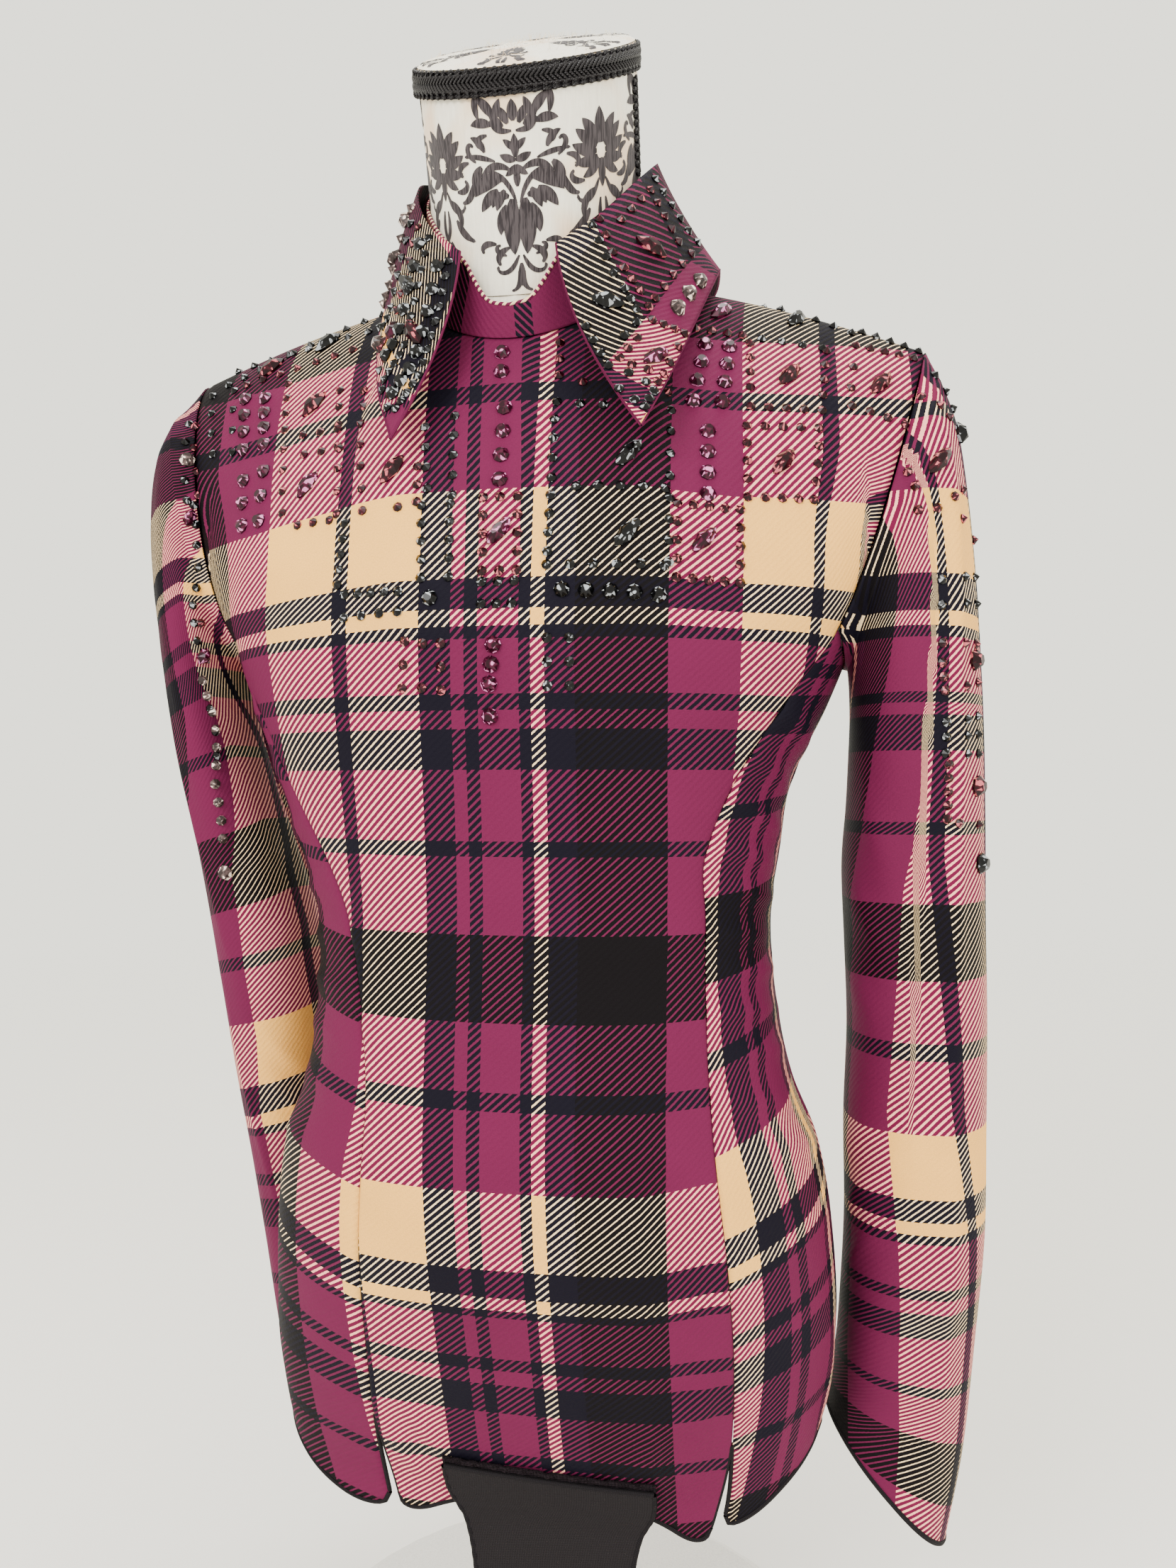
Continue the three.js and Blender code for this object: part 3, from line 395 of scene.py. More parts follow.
# ---------- body panels ----------
def hem_line(start, end, arch, round_start, round_end):
    """Height of a panel's hem across it, with its corners rounded off upwards."""
    def corner(d, size):
        if not size:
            return 0 * d
        return 14 * (1 - np.sqrt(1 - np.clip(1 - d / size, 0, 1) ** 2))

    def height(u):
        return (mix(start, end, u) + arch * np.sin(math.pi * u)
                + corner(u, round_start) + corner(1 - u, round_end))

    return height


def armpit(u):
    return ARM_Z - ARMPIT_DROP * np.sin(u * math.pi / 2)


def zip_share(s):
    return mix(0.0095, 0.0134, s)


def lower_points(panel, cols, rows):
    """The grid of a panel from its hem up to the bust line."""
    u = np.linspace(0, 1, cols + 1)
    hem = panel.hem(u)
    top = panel.top(u) if panel.top else 0 * u + ARM_Z
    z = mix(hem, top, np.linspace(0, 1, rows + 1)[:, None])
    ends = []
    for name, slit, way in ((panel.start, panel.slits[0], 1), (panel.end, panel.slits[1], -1)):
        angle = seam_angle(name, z)
        if not name.startswith("zip"):
            speed = np.linalg.norm(torso(angle + 1e-3, z) - torso(angle - 1e-3, z), axis=-1) / 2e-3
            gap = SEAM / 2 + (SLIT_OPEN / 2 * ease((SLIT_TOP - z) / 60) if slit else 0)
            angle = angle + way * gap / speed
        ends.append(angle)
    phi = mix(ends[0], ends[1], u)
    return torso(phi, z), phi


def tall_points(panel, cols, rows, top_rows):
    """The grid of a front or back that runs on up to the neckline and shoulder seams."""
    low, phi = lower_points(panel, cols, rows)
    u = np.linspace(0, 1, cols + 1)
    s = np.linspace(0, 1, top_rows + 1)[1:, None]
    start = panel.share[0] if panel.share[0] else zip_share(s)
    end = panel.share[1] if panel.share[1] else -zip_share(s)
    high = yoke(panel.face, mix(start, end, u), s * (1 - SEAM / 220))
    phi = np.concatenate([phi, np.repeat(phi[-1:], top_rows, 0)])
    return np.concatenate([low, high]), phi


def panel(name, node, face, start, end, slits, hem, share=None, top=None, grain=0.0, lift=0.0):
    return SimpleNamespace(name=name, node=node, face=face, start=start, end=end, slits=slits,
                           hem=hem, share=share, top=top, grain=grain, lift=lift)


BY_SEAM = 0.9985  # where front and backs end, as a share of the way to a shoulder's outer end
PANELS = [
    panel("front", "front_centre", 1, "bustRight", "bustLeft", (True, True),
          hem_line(138, 141, 26, 0.14, 0.14), share=(BY_SEAM, -BY_SEAM)),
    panel("side_front_by_right_arm", "side_front_right", 1, "sideRight", "bustRight",
          (False, True), hem_line(202, 145, 4, 0, 0.35), top=lambda u: armpit(1 - u),
          grain=-8, lift=16),
    panel("side_front_by_left_arm", "side_front_left", 1, "bustLeft", "sideLeft",
          (True, False), hem_line(140, 190, -6, 0.3, 0), top=armpit, grain=62, lift=-5),
    panel("side_back_by_left_arm", "side_back_left", -1, "sideLeft", "bladeLeft",
          (False, True), hem_line(190, 142, 0, 0, 0.3), top=lambda u: armpit(1 - u),
          grain=20, lift=12),
    panel("side_back_by_right_arm", "side_back_right", -1, "bladeRight", "sideRightEnd",
          (True, False), hem_line(142, 202, 0, 0.3, 0), top=armpit, grain=40, lift=16),
    panel("back_by_left_arm", "back_left", -1, "bladeLeft", "zipLeft", (True, False),
          hem_line(140, 140, 0, 0.25, 0), share=(-BY_SEAM, 0)),
    panel("back_by_right_arm", "back_right", -1, "zipRight", "bladeRight", (False, True),
          hem_line(140, 140, 0, 0, 0.25), share=(0, BY_SEAM)),
]

# Folds of each panel as (across, height, across, height, width, height out), all in millimetres:
# across is measured round the body from the panel's middle line.
FOLDS = {
    "front": [
        (-96, 452, -60, 440, 5, 0.8), (62, 446, 92, 452, 6, 1.0), (60, 405, 88, 398, 6, 1.1),
        (-88, 408, -52, 400, 6, 0.8), (55, 360, 86, 352, 6, 0.7), (88, 232, 60, 196, 7, 1.5),
        (70, 196, 38, 170, 6, 1.2), (96, 262, 84, 190, 6, 1.2), (-70, 196, -52, 168, 6, 1.6),
        (-58, 214, -34, 176, 5, 1.2), (-84, 230, -66, 190, 6, 1.0), (118, 560, 84, 548, 7, 0.8),
        (12, 168, 46, 160, 5, 0.8), (-20, 172, 10, 166, 5, 0.8), (134, 640, 150, 600, 8, 1.0),
        (-128, 628, -150, 596, 8, 1.0),
    ],
    "side_front_by_right_arm": [
        (-34, 556, 30, 536, 5, 2.2), (-36, 536, 24, 514, 5, 2.0), (-30, 512, 26, 496, 5, 2.2),
        (-32, 492, 20, 480, 4.5, 2.3), (-24, 472, 30, 463, 4.5, 2.4), (-34, 452, 20, 447, 4.5, 2.2),
        (-20, 434, 34, 428, 4.5, 2.3), (-34, 415, 22, 411, 4.5, 2.0), (-22, 396, 32, 390, 5, 1.9),
        (-36, 376, 18, 368, 5, 1.6), (-20, 352, 34, 346, 6, 1.4), (-20, 318, 26, 308, 7, 1.1),
        (20, 250, 36, 190, 7, 1.6), (-10, 240, -18, 190, 8, 1.2),
    ],
    "side_front_by_left_arm": [
        (-30, 548, 30, 560, 5, 1.6), (-32, 520, 26, 530, 5, 1.8), (-30, 492, 24, 500, 5, 1.8),
        (-30, 466, 26, 470, 4.5, 1.9), (-34, 442, 20, 446, 4.5, 1.9), (-24, 420, 30, 424, 4.5, 1.9),
        (-34, 398, 22, 402, 5, 1.6), (-22, 372, 30, 378, 5, 1.5), (-30, 344, 22, 350, 6, 1.2),
        (-26, 250, -34, 190, 7, 1.6),
    ],
    "side_back_by_left_arm": [
        (-26, 536, 30, 524, 6, 1.6), (-26, 470, 30, 462, 5, 1.8), (-30, 440, 26, 434, 5, 1.9),
        (-24, 414, 32, 408, 5, 1.6), (-30, 382, 20, 376, 6, 1.4),
    ],
    "side_back_by_right_arm": [
        (-30, 524, 26, 538, 6, 1.6), (-30, 462, 26, 470, 5, 1.8), (-26, 432, 32, 440, 5, 1.9),
        (-32, 404, 24, 412, 5, 1.6), (-22, 374, 30, 380, 6, 1.4),
    ],
    "back_by_left_arm": [
        (-20, 462, 30, 456, 7, 1.5), (-30, 434, 28, 428, 6, 1.6), (-16, 406, 32, 400, 7, 1.3),
        (-60, 600, -30, 560, 9, 1.2), (20, 176, 34, 140, 8, 1.5),
    ],
    "back_by_right_arm": [
        (-30, 456, 20, 464, 7, 1.5), (-28, 426, 30, 436, 6, 1.6), (-32, 398, 16, 408, 7, 1.3),
        (60, 600, 30, 560, 9, 1.2), (-30, 178, -24, 140, 8, 1.4),
    ],
}


def sewn(points, relief, depth):
    """The grid with its folds raised and its long edges drawn in a little where they are sewn."""
    normals = facing(points, -1)
    run = lengths(points, 1)
    edge = np.minimum(run, run[:, -1:] - run)
    return points + normals * (relief - depth * np.exp(-(edge / 2.2) ** 2))[..., None]


# How far rows climb from the bust seam to the side seam at heights 200, 300, 400 and 480.
ROW_RISE = {
    "side_front_by_right_arm": ((0.45, 0.4, 0.25, 0.1), -1),
    "side_front_by_left_arm": ((0.3, 0.3, 0.2, 0.1), 0),
}


# The backs are cut along the zip, so that the plaid meets there: the column beside it.
ZIP_EDGE = {"back_by_left_arm": -1, "back_by_right_arm": 0}


def body_cloth(panel, points, phi):
    """Cloth coordinates and the place across for a panel's folds."""
    z = points[..., 2]
    if panel.name == "front":
        x = points[..., 0]
        across = front_across(x, z)
        sag = np.interp(x, [-165, -130, -50, 60, 100, 165], [12, 10, 0, 0, 3.5, 2])
        by_arm = np.interp(x, [60, 90], [0, 1])
        lift = by_arm * np.interp(z, [210, 250, 330, 375, 450], [5, 5, 6, 1.5, 0])
        return np.stack([across, down(z + sag * ease((z - 560) / 70) - lift)], -1), across
    wide = girth(phi, np.minimum(z, TOP_Z))
    middle = wide[:, [wide.shape[1] // 2]]
    place = wide - middle
    if panel.share:
        x = points[..., 0]
        place = mix(place, (x - x[:, [x.shape[1] // 2]]) * (1 if panel.face > 0 else -1),
                    ease((z - ARM_Z) / 50))
    side = 1 if panel.face > 0 else -1
    w = down(z - panel.lift)
    if panel.name in ROW_RISE:
        rise, seam = ROW_RISE[panel.name]
        w = w + np.interp(z, [200, 300, 400, 480], rise) * np.abs(place - place[:, [seam]])
    if panel.name in ZIP_EDGE:
        return np.stack([(place - place[:, [ZIP_EDGE[panel.name]]]) * side, w], -1), place
    return np.stack([panel.grain + place * side, w], -1), place


def panel_points(panel, pitch):
    wide = {"front": 310, "back_by_left_arm": 170, "back_by_right_arm": 170}.get(panel.name, 90)
    cols, rows = round(wide / pitch), round(450 / pitch)
    if panel.share:
        return tall_points(panel, cols, rows, round(155 / pitch))
    return lower_points(panel, cols, rows)


# ---------- sleeves ----------
SLEEVE_GAP = 0.5
SLEEVE_RINGS = 14
SLEEVE_NAMES = "ring outerX outerZ innerX innerZ middle depth"
SLEEVE = {
    1: columns(SLEEVE_NAMES, [
        [1, 199, 717, 154.0, 577, 0, 46],
        [2, 206, 695, 154.4, 571, 0, 50],
        [3, 211, 662, 154.8, 562, 2, 53],
        [4, 215, 625, 155, 550, 5, 55],
        [5, 218, 585, 154.5, 533, 9, 55],
        [6, 220.5, 545, 153.5, 509, 14, 54],
        [7, 222, 500, 151.5, 478, 19, 53],
        [8, 223, 452, 153, 438, 24, 52],
        [9, 224.5, 400, 154.5, 394, 29, 50],
        [10, 225, 345, 153, 345, 34, 48],
        [11, 225, 288, 153.5, 292, 39, 46],
        [12, 221, 232, 151.5, 246, 44, 44],
        [13, 215.5, 172, 149, 214, 48, 42],
        [14, 207, 120, 144, 188, 52, 40],
    ]),
    -1: columns(SLEEVE_NAMES, [
        [1, -202.5, 722, -165.5, 582, 0, 46],
        [2, -208, 703, -165.5, 577, 0, 50],
        [3, -209.5, 672, -165, 568, 1, 53],
        [4, -208, 635, -164, 556, 3, 55],
        [5, -205, 592, -161, 539, 6, 55],
        [6, -201.5, 550, -155, 515, 10, 54],
        [7, -198, 505, -147, 484, 17, 52],
        [8, -196, 460, -139, 446, 27, 50],
        [9, -194, 410, -135, 402, 38, 48],
        [10, -193, 355, -139, 354, 53, 45],
        [11, -191, 303, -138, 306, 67, 43],
        [12, -189, 248, -136, 258, 80, 41],
        [13, -187, 190, -133, 226, 92, 39],
        [14, -183, 133, -129, 198, 104, 37],
    ]),
}
# Folds of a sleeve as (share of a turn from the outer edge towards the front, distance down,
# share, distance, width, height out); the share counts as SLEEVE_TURN millimetres a turn.
SLEEVE_TURN = 270.0
SLEEVE_FOLDS = {
    1: [(0.13, 6, 0.17, 120, 6, 2.2), (0.17, 100, 0.19, 330, 6, 2.4), (0.19, 300, 0.18, 520, 7, 1.6),
        (0.40, 90, 0.30, 150, 6, 1.6), (0.44, 120, 0.33, 182, 6, 1.8), (0.46, 155, 0.36, 212, 6, 1.6),
        (0.47, 250, 0.34, 276, 6, 1.6), (0.46, 285, 0.33, 300, 6, 1.8), (0.45, 320, 0.34, 330, 6, 1.4),
        (0.46, 470, 0.36, 486, 7, 1.2), (0.62, 110, 0.72, 180, 8, 1.8), (0.60, 260, 0.75, 300, 8, 1.6)],
    -1: [(0.10, 6, 0.14, 120, 6, 1.8), (0.16, 120, 0.20, 260, 6, 1.6), (0.44, 110, 0.34, 150, 6, 1.5),
         (0.46, 150, 0.36, 186, 6, 1.5), (0.46, 250, 0.30, 270, 6, 1.8), (0.47, 282, 0.30, 300, 6, 1.8),
         (0.46, 312, 0.32, 330, 6, 1.6), (0.16, 300, 0.24, 420, 7, 1.6), (0.44, 430, 0.34, 450, 7, 1.2),
         (0.62, 110, 0.72, 180, 8, 1.8), (0.60, 260, 0.75, 300, 8, 1.6)],
}
# Where the sleeve's plaid lies: cloth distances at the outer edge, and rows for heights.
SLEEVE_GRAIN = {
    1: np.array([[120, 172], [250, 180], [295, 186], [360, 200], [450, 211], [485, 215], [740, 218]], float),
    -1: np.array([[120, 56], [336, 54], [380, 46], [420, 44],
                  [473, 38], [555, 2], [650, -6], [740, -8]], float),
}
# A long soft tuck down the front of each sleeve takes up cloth: height, cloth taken, and where.
SLEEVE_TUCK = {
    1: np.array([[120, 0, 74], [300, 0, 74], [360, 6, 74], [470, 24, 74], [500, 33, 74],
                 [650, 33, 74], [740, 10, 74]], float),
    -1: np.array([[120, 0, 40], [740, 0, 40]], float),
}
SLEEVE_DOWN = {
    1: [[740, -86], [656, 0], [618, 38.2], [600, 53.4], [594, 60.4], [588.6, 65.4], [563, 90.4],
        [558, 98], [553, 106.2], [536, 125.2], [502, 156.2], [497, 162.7], [463, 199.2],
        [426, 238.2], [349, 314.9], [317, 353.1], [305, 368.3], [299, 375.3], [294, 380.3],
        [270, 405.3], [264.5, 412.9], [257, 421.1], [244, 440.1], [217, 471.1], [212, 477.6],
        [188, 514.1], [155, 553.1], [120, 590]],
    -1: [[740, -84], [658, 0], [624, 38.2], [526, 159], [487, 199.2], [449, 238.2],
         [386, 314.9], [350, 353.1], [332, 368.3], [120, 585]],
}


# Slope of the plaid's rows across a sleeve: near its lower edge, and all the way down.
CUFF_TILT = {1: 0.45, -1: 0.0}
SLEEVE_TILT = {1: 0.0, -1: 0.25}


def armhole(hand, half):
    """The armhole from the shoulder tip down the front, under the arm and up the back."""
    names = ("bustRight", "bladeRight", 0.0) if hand > 0 else ("bustLeft", "bladeLeft", LEFT)
    level = float(ARM_Z)
    k = np.linspace(0, 1, 24)[1:]
    drop = ARM_Z - ARMPIT_DROP * np.sin(k * math.pi / 2)
    halves = []
    for face, seam in ((1, names[0]), (-1, names[1])):
        angle = float(seam_angle(seam, level))
        if face < 0 and hand > 0:
            angle -= RIGHT
        line = np.concatenate([yoke(face, hand, np.linspace(1, 0, 60)),
                               torso(mix(angle, names[2], k), drop)])
        run = lengths(line[None], 1)[0]
        even = np.linspace(0, run[-1], half + 1)
        halves.append(np.stack([np.interp(even, run, line[:, c]) for c in range(3)], -1))
    loop = np.concatenate([halves[0][:-1], halves[1][1:][::-1]])
    return loop + [hand * SLEEVE_GAP, 0, 0]


def sleeve_points(hand, around, along):
    """A sleeve's grid, opened at its underarm seam; rows run down from the armhole."""
    rows = SLEEVE[hand]
    half = around // 2
    order = (np.arange(around + 1) + half) % around
    seat = armhole(hand, half)[order]
    turn = order / around * 2 * math.pi

    def level(t):
        return np.sign(t) * np.abs(t) ** 0.9

    k = np.concatenate([np.linspace(0, 1, 8)[:-1], np.linspace(1, SLEEVE_RINGS, along)])[:, None]
    ring = np.maximum(k, 1)
    share = (1 + level(np.cos(turn))) / 2
    x = mix(rows.innerX(ring), rows.outerX(ring), share)
    z = mix(rows.innerZ(ring), rows.outerZ(ring), share)
    y = rows.middle(ring) - rows.depth(ring) * level(np.sin(turn))
    point = np.stack([x, y, z], -1)
    blend = 0.22 * np.clip((3 - ring) / 3, 0, 1) ** 2
    point = mix(point, seat, blend[..., None])
    first = mix(point, seat, 0 * k[..., None])
    share = (np.arange(around + 1) - half) / around
    return np.where((k < 1)[..., None], mix(seat, first, k[..., None]), point), share


def sleeve_cloth(hand, points, share):
    """Cloth coordinates of a sleeve and the places for its folds."""
    run = lengths(points, 1)
    middle = run[:, [points.shape[1] // 2]]
    arc = run - middle
    z = points[..., 2]
    tuck = SLEEVE_TUCK[hand]
    past = arc - np.interp(z, tuck[:, 0], tuck[:, 2])
    taken = np.interp(z, tuck[:, 0], tuck[:, 1]) * ease(past / 3 + 0.5)
    grain = np.interp(z, SLEEVE_GRAIN[hand][:, 0], SLEEVE_GRAIN[hand][:, 1])
    table = np.array(SLEEVE_DOWN[hand], float)
    w = np.interp(-z, -table[:, 0], table[:, 1])
    tilt = CUFF_TILT[hand] * ease((235 - z) / 60) + SLEEVE_TILT[hand]
    w = w + tilt * np.clip(arc - 45, -60, 60)
    fall = lengths(points, 0)
    return np.stack([grain - hand * (arc + taken), w], -1), share, fall


# ---------- collar ----------
STAND_TOP = columns("turn z", [
    [0, 743], [10, 746], [17, 756], [23, 767], [40, 785], [65, 812], [90, 834], [135, 846],
    [180, 850],
])
COLLAR_X = -3.5
LEAF_X = {1: 4, -1: 9}
LEAF = columns("s foldX foldY foldZ midX midY midZ edgeX edgeY edgeZ", [
    [0, 23, -76, 769, 34, -92, 722, 59, -106, 674],
    [0.2, 41.5, -62, 788, 52, -79, 748, 70, -86, 703],
    [0.4, 56.5, -36, 816, 67, -47, 784, 81, -44, 749],
    [0.55, 62, -6, 838, 72, -8, 809, 86, 0, 784],
    [0.75, 48, 38, 850, 58, 48, 820, 72, 60, 790],
    [1, 1.2, 57.5, 854, 1.2, 69, 828, 1.2, 85, 795],
])


STAND_GRAIN = (76.0, 267.0)  # cloth coordinates of the band's lower edge at its front
BAND_OUT, BAND_SUNK = 0.9, 0.4  # the band's lower edge before the shirt's neck edge, and below it


def stand_points(cols, rows):
    turn = np.linspace(-179.4, 179.4, cols + 1)
    rise = np.linspace(0, 1, rows + 1)[:, None, None]
    side, ahead = np.sin(np.radians(turn)), np.cos(np.radians(turn))
    size = np.abs(turn)
    w = np.where(size <= 90, size / 90, (180 - size) / 90) * np.where(turn < 0, -1, 1) * NECK_SHARE
    out = np.stack([side, -ahead, 0 * turn], -1)
    low = np.where((size <= 90)[:, None], top_edge(1, w), top_edge(-1, w))
    low = low + out * BAND_OUT - [0, 0, BAND_SUNK]
    high = np.stack([COLLAR_X + 58.6 * side, np.where(ahead > 0, -74 * ahead, -53 * ahead),
                     STAND_TOP.z(size)], -1)
    return mix(low, high, rise)


def leaf_points(hand, cols, rows):
    """A leaf's grid: columns from the front to the centre back, rows from edge to fold."""
    s = np.linspace(0, 1, cols + 1)
    t = np.linspace(1, 0, rows + 1)[:, None]

    def place(part):
        return np.stack([getattr(LEAF, part + axis)(s) for axis in "XYZ"], -1)

    t3 = t[..., None]
    point = (place("fold") * (1 - t3) * (1 - 2 * t3) + place("mid") * 4 * t3 * (1 - t3)
             + place("edge") * t3 * (2 * t3 - 1))
    edge_x = mix(LEAF_X[hand], LEAF_X[1], ease(2 * s))
    point[..., 0] = point[..., 0] * hand + mix(COLLAR_X, edge_x, t)
    return point


# The cloth of the leaf by the left arm is the other's turned about a thread.
LEAF_PAIR = (102, 20)
LEAF_TURN = 0.72  # share of the fall from which the cloth turns towards the edge


def leaf_cloth(hand, points):
    """Cloth of a leaf: its threads fan out from the fold and bend round to its point."""
    rows, cols = points.shape[:2]
    t = np.linspace(1, 0, rows)[:, None]
    half = np.minimum(np.linspace(0, 2, cols), 1)
    arch = half * (1 - half)
    by_point = 21 + 62 * t + 27 * t ** 3
    by_shoulder = 33 + 46 * t + 10 * t ** 3
    u = mix(by_point, by_shoulder, half + arch * (0.7 - 1.2 * t))
    fan = 20 * t ** 0.6 * (1 - half) ** 1.5
    turned = (15 + 32 * arch - 4 * half) * np.clip((t - LEAF_TURN) / (1 - LEAF_TURN), 0, 1)
    run = lengths(points, 1)
    beyond = np.maximum(0, run - run[:, [cols // 2]])
    w = 342 - 92 * half + 15 * half ** 2 + fan + turned - beyond
    return np.stack([u, w] if hand > 0 else [LEAF_PAIR[0] - u, w + LEAF_PAIR[1]], -1)


# ---------- strap ----------
STRAP_X = 8
STRAP = columns("z half", [[80, 37], [130, 40], [150, 44], [166, 51], [190, 52]])
TAPE_OUT = 2.2


def ahead_of_front(x, z, out):
    """Points before the front panel, hanging plumb below the hem."""
    held = np.maximum(z, 150.0)
    half = np.where(x > 0, BODY.right(held), BODY.left(held))
    phi = np.arccos(np.sign(x) * (np.abs(x) / half) ** (OVAL / 2))
    across = torso(phi + 1e-3, held) - torso(phi - 1e-3, held)
    up = torso(phi, held + 1) - torso(phi, held - 1)
    point = torso(phi, held) - unit(np.cross(across, up)) * np.asarray(out)[..., None]
    return point + np.stack([0 * z, math.tan(LEAN) * (held - z), z - held], -1)


def tape_points(cols, rows):
    x = STRAP_X + np.linspace(53, -53, cols + 1)
    z = np.linspace(168, 184, rows + 1)[:, None] - 0.06 * x
    return ahead_of_front(x + 0 * z, z, TAPE_OUT + 0 * z)


def strap_points(cols, rows):
    v = np.linspace(0, 1, rows + 1)[:, None]
    z = mix(84, 180, v)
    x = STRAP_X + STRAP.half(z) * np.linspace(1, -1, cols + 1)
    return ahead_of_front(x, z - 0.06 * x * v, TAPE_OUT + 2.0 + 0 * x)


# ---------- the form's neck ----------
NECK = columns("level shift half middle depth zFront zBack", [
    [1, -3.2, 53.4, -9.5, 53, 752, 806],
    [2, -3.6, 53.4, -12, 54, 782, 846],
    [3, -4.8, 54, -17, 55, 816, 890],
    [4, -6.6, 55, -22, 56, 851, 932],
])
NECK_ROUND = 342.0
NECK_RADIUS = 55.0
RIM_SLOPE = unit(np.array([0, -0.16, 1.0]))
CAP_AWAY = np.array([0, -0.61, 0.79])


def neck_point(turn, level, out=0.0):
    side, ahead = np.sin(turn), np.cos(turn)
    x = NECK.shift(level) + (NECK.half(level) + out) * side
    y = NECK.middle(level) - (NECK.depth(level) + out) * ahead
    z = mix(NECK.zFront(level), NECK.zBack(level), (1 - ahead) / 2)
    return np.stack(np.broadcast_arrays(x, y, z), -1)


def on_neck(a, h, out):
    """A place on the neck's cover: a round from the middle of the front, h up from the collar."""
    return neck_point(a / NECK_ROUND * 2 * math.pi, 1 + 3 * h / 100, out)


def on_rim(a, h, out):
    """A place on the braid round the rim, h measured down the neck from its top edge."""
    return neck_point(a / NECK_ROUND * 2 * math.pi, 4.0, out) + RIM_SLOPE * np.asarray(h)[..., None]


def on_cap(a, r, out):
    """A place on the crowned disc over the neck: a round it, r the share of its radius."""
    middle = (neck_point(0.0, 4.0) + neck_point(math.pi, 4.0)) / 2
    rim = neck_point(a / NECK_ROUND * 2 * math.pi, 4.0)
    r3 = np.asarray(r)[..., None]
    lift = 1.8 + 2.5 * (1 - r3 ** 2) - 1.4 * ease((r3 - 0.94) / 0.06)
    return mix(middle, rim, r3) + CAP_AWAY * (lift + out)


# ---------- small parts: tubes, ribbons and stones ----------
def tube(path, across, wide, high=None, sides=8):
    """Vertices, quads and map of a tube along a path; wide lies along the across direction."""
    high = high or wide
    along = unit(np.gradient(path, axis=0))
    up = unit(np.cross(along, across + 0 * path))
    flat = np.cross(up, along)
    turn = np.arange(sides) / sides * 2 * math.pi
    ring = (path[:, None] + flat[:, None] * (wide * np.cos(turn))[:, None]
            + up[:, None] * (high * np.sin(turn))[:, None])
    at = np.arange(len(path) * sides).reshape(-1, sides)
    nxt = np.roll(at, -1, 1)
    quads = np.stack([at[:-1], nxt[:-1], nxt[1:], at[1:]], -1).reshape(-1, 4)
    run = np.concatenate([[0], np.cumsum(np.linalg.norm(np.diff(path, axis=0), axis=1))])
    around = np.arange(sides) * 2 * math.pi * wide / sides
    spots = np.stack([around + 0 * run[:, None], run[:, None] + 0 * around], -1).reshape(-1, 2)
    return ring.reshape(-1, 3), quads, spots


def ribbon(place, line, wide):
    """A flat strip along a line of (a, h) that lies on a surface function of them."""
    along = unit(np.gradient(line, axis=0))
    off = np.stack([-along[:, 1], along[:, 0]], -1) * (wide / 2)[:, None]
    edges = np.stack([line - off, line, line + off], 1)
    verts = place(edges[..., 0], edges[..., 1])
    at = np.arange(len(line) * 3).reshape(-1, 3)
    quads = np.stack([at[:-1, :-1], at[:-1, 1:], at[1:, 1:], at[1:, :-1]], -1).reshape(-1, 4)
    return verts.reshape(-1, 3), quads, edges.reshape(-1, 2)


def joined(name, parts, smooth=True):
    """One object from parts of (vertices, quads, map), with its cloth map in metres."""
    verts, faces, spots, start = [], [], [], 0
    for points, quads, spot in parts:
        verts.append(points)
        faces.append(quads + start)
        spots.append(spot)
        start += len(points)
    faces = np.concatenate(faces)
    piece = link(name, worn(np.concatenate(verts)), faces, smooth)
    set_map(piece.data, "cloth", (np.concatenate(spots) * MM)[faces.ravel()])
    return piece


def sheet_part(points, side):
    """Vertices, quads and map of a plain grid."""
    rows, cols = points.shape[:2]
    at = np.arange(rows * cols).reshape(rows, cols)
    quads = np.stack([at[:-1, :-1], at[:-1, 1:], at[1:, 1:], at[1:, :-1]], -1).reshape(-1, 4)
    if side > 0:
        quads = quads[:, ::-1]
    spots = np.stack([lengths(points, 1), lengths(points, 0)], -1).reshape(-1, 2)
    return points.reshape(-1, 3), quads, spots


def gem(corners, table, power=1.0, waist=1.0):
    """A cut stone one unit across: a girdle of corners, a turned table, or a point if table is 0."""
    turn = np.arange(corners) / corners * 2 * math.pi
    wide = np.sign(np.sin(turn)) * np.abs(np.sin(turn)) ** power
    girdle = np.stack([np.cos(turn), waist * wide], -1)
    half = turn + math.pi / corners
    top = table * np.stack([np.cos(half), waist * np.sin(half)], -1)
    k = np.arange(corners)
    nxt = (k + 1) % corners
    low = np.column_stack([girdle * 0.96, np.zeros(corners)])
    mid = np.column_stack([girdle, np.full(corners, 0.3)])
    faces = [list(q) for q in np.stack([k, nxt, nxt + corners, k + corners], -1)]
    if table:
        high = np.column_stack([top, np.ones(corners)])
        faces += [list(t) for t in np.stack([k + corners, nxt + corners, k + 2 * corners], -1)]
        faces += [list(t) for t in np.stack([nxt + corners, nxt + 2 * corners, k + 2 * corners], -1)]
        faces.append(list(range(2 * corners, 3 * corners)))
    else:
        high = np.array([[0, 0, 1.0]])
        faces += [[int(a) + corners, int(b) + corners, 2 * corners] for a, b in zip(k, nxt)]
    return np.concatenate([low, mid, high]) * [0.5, 0.5, 1], faces


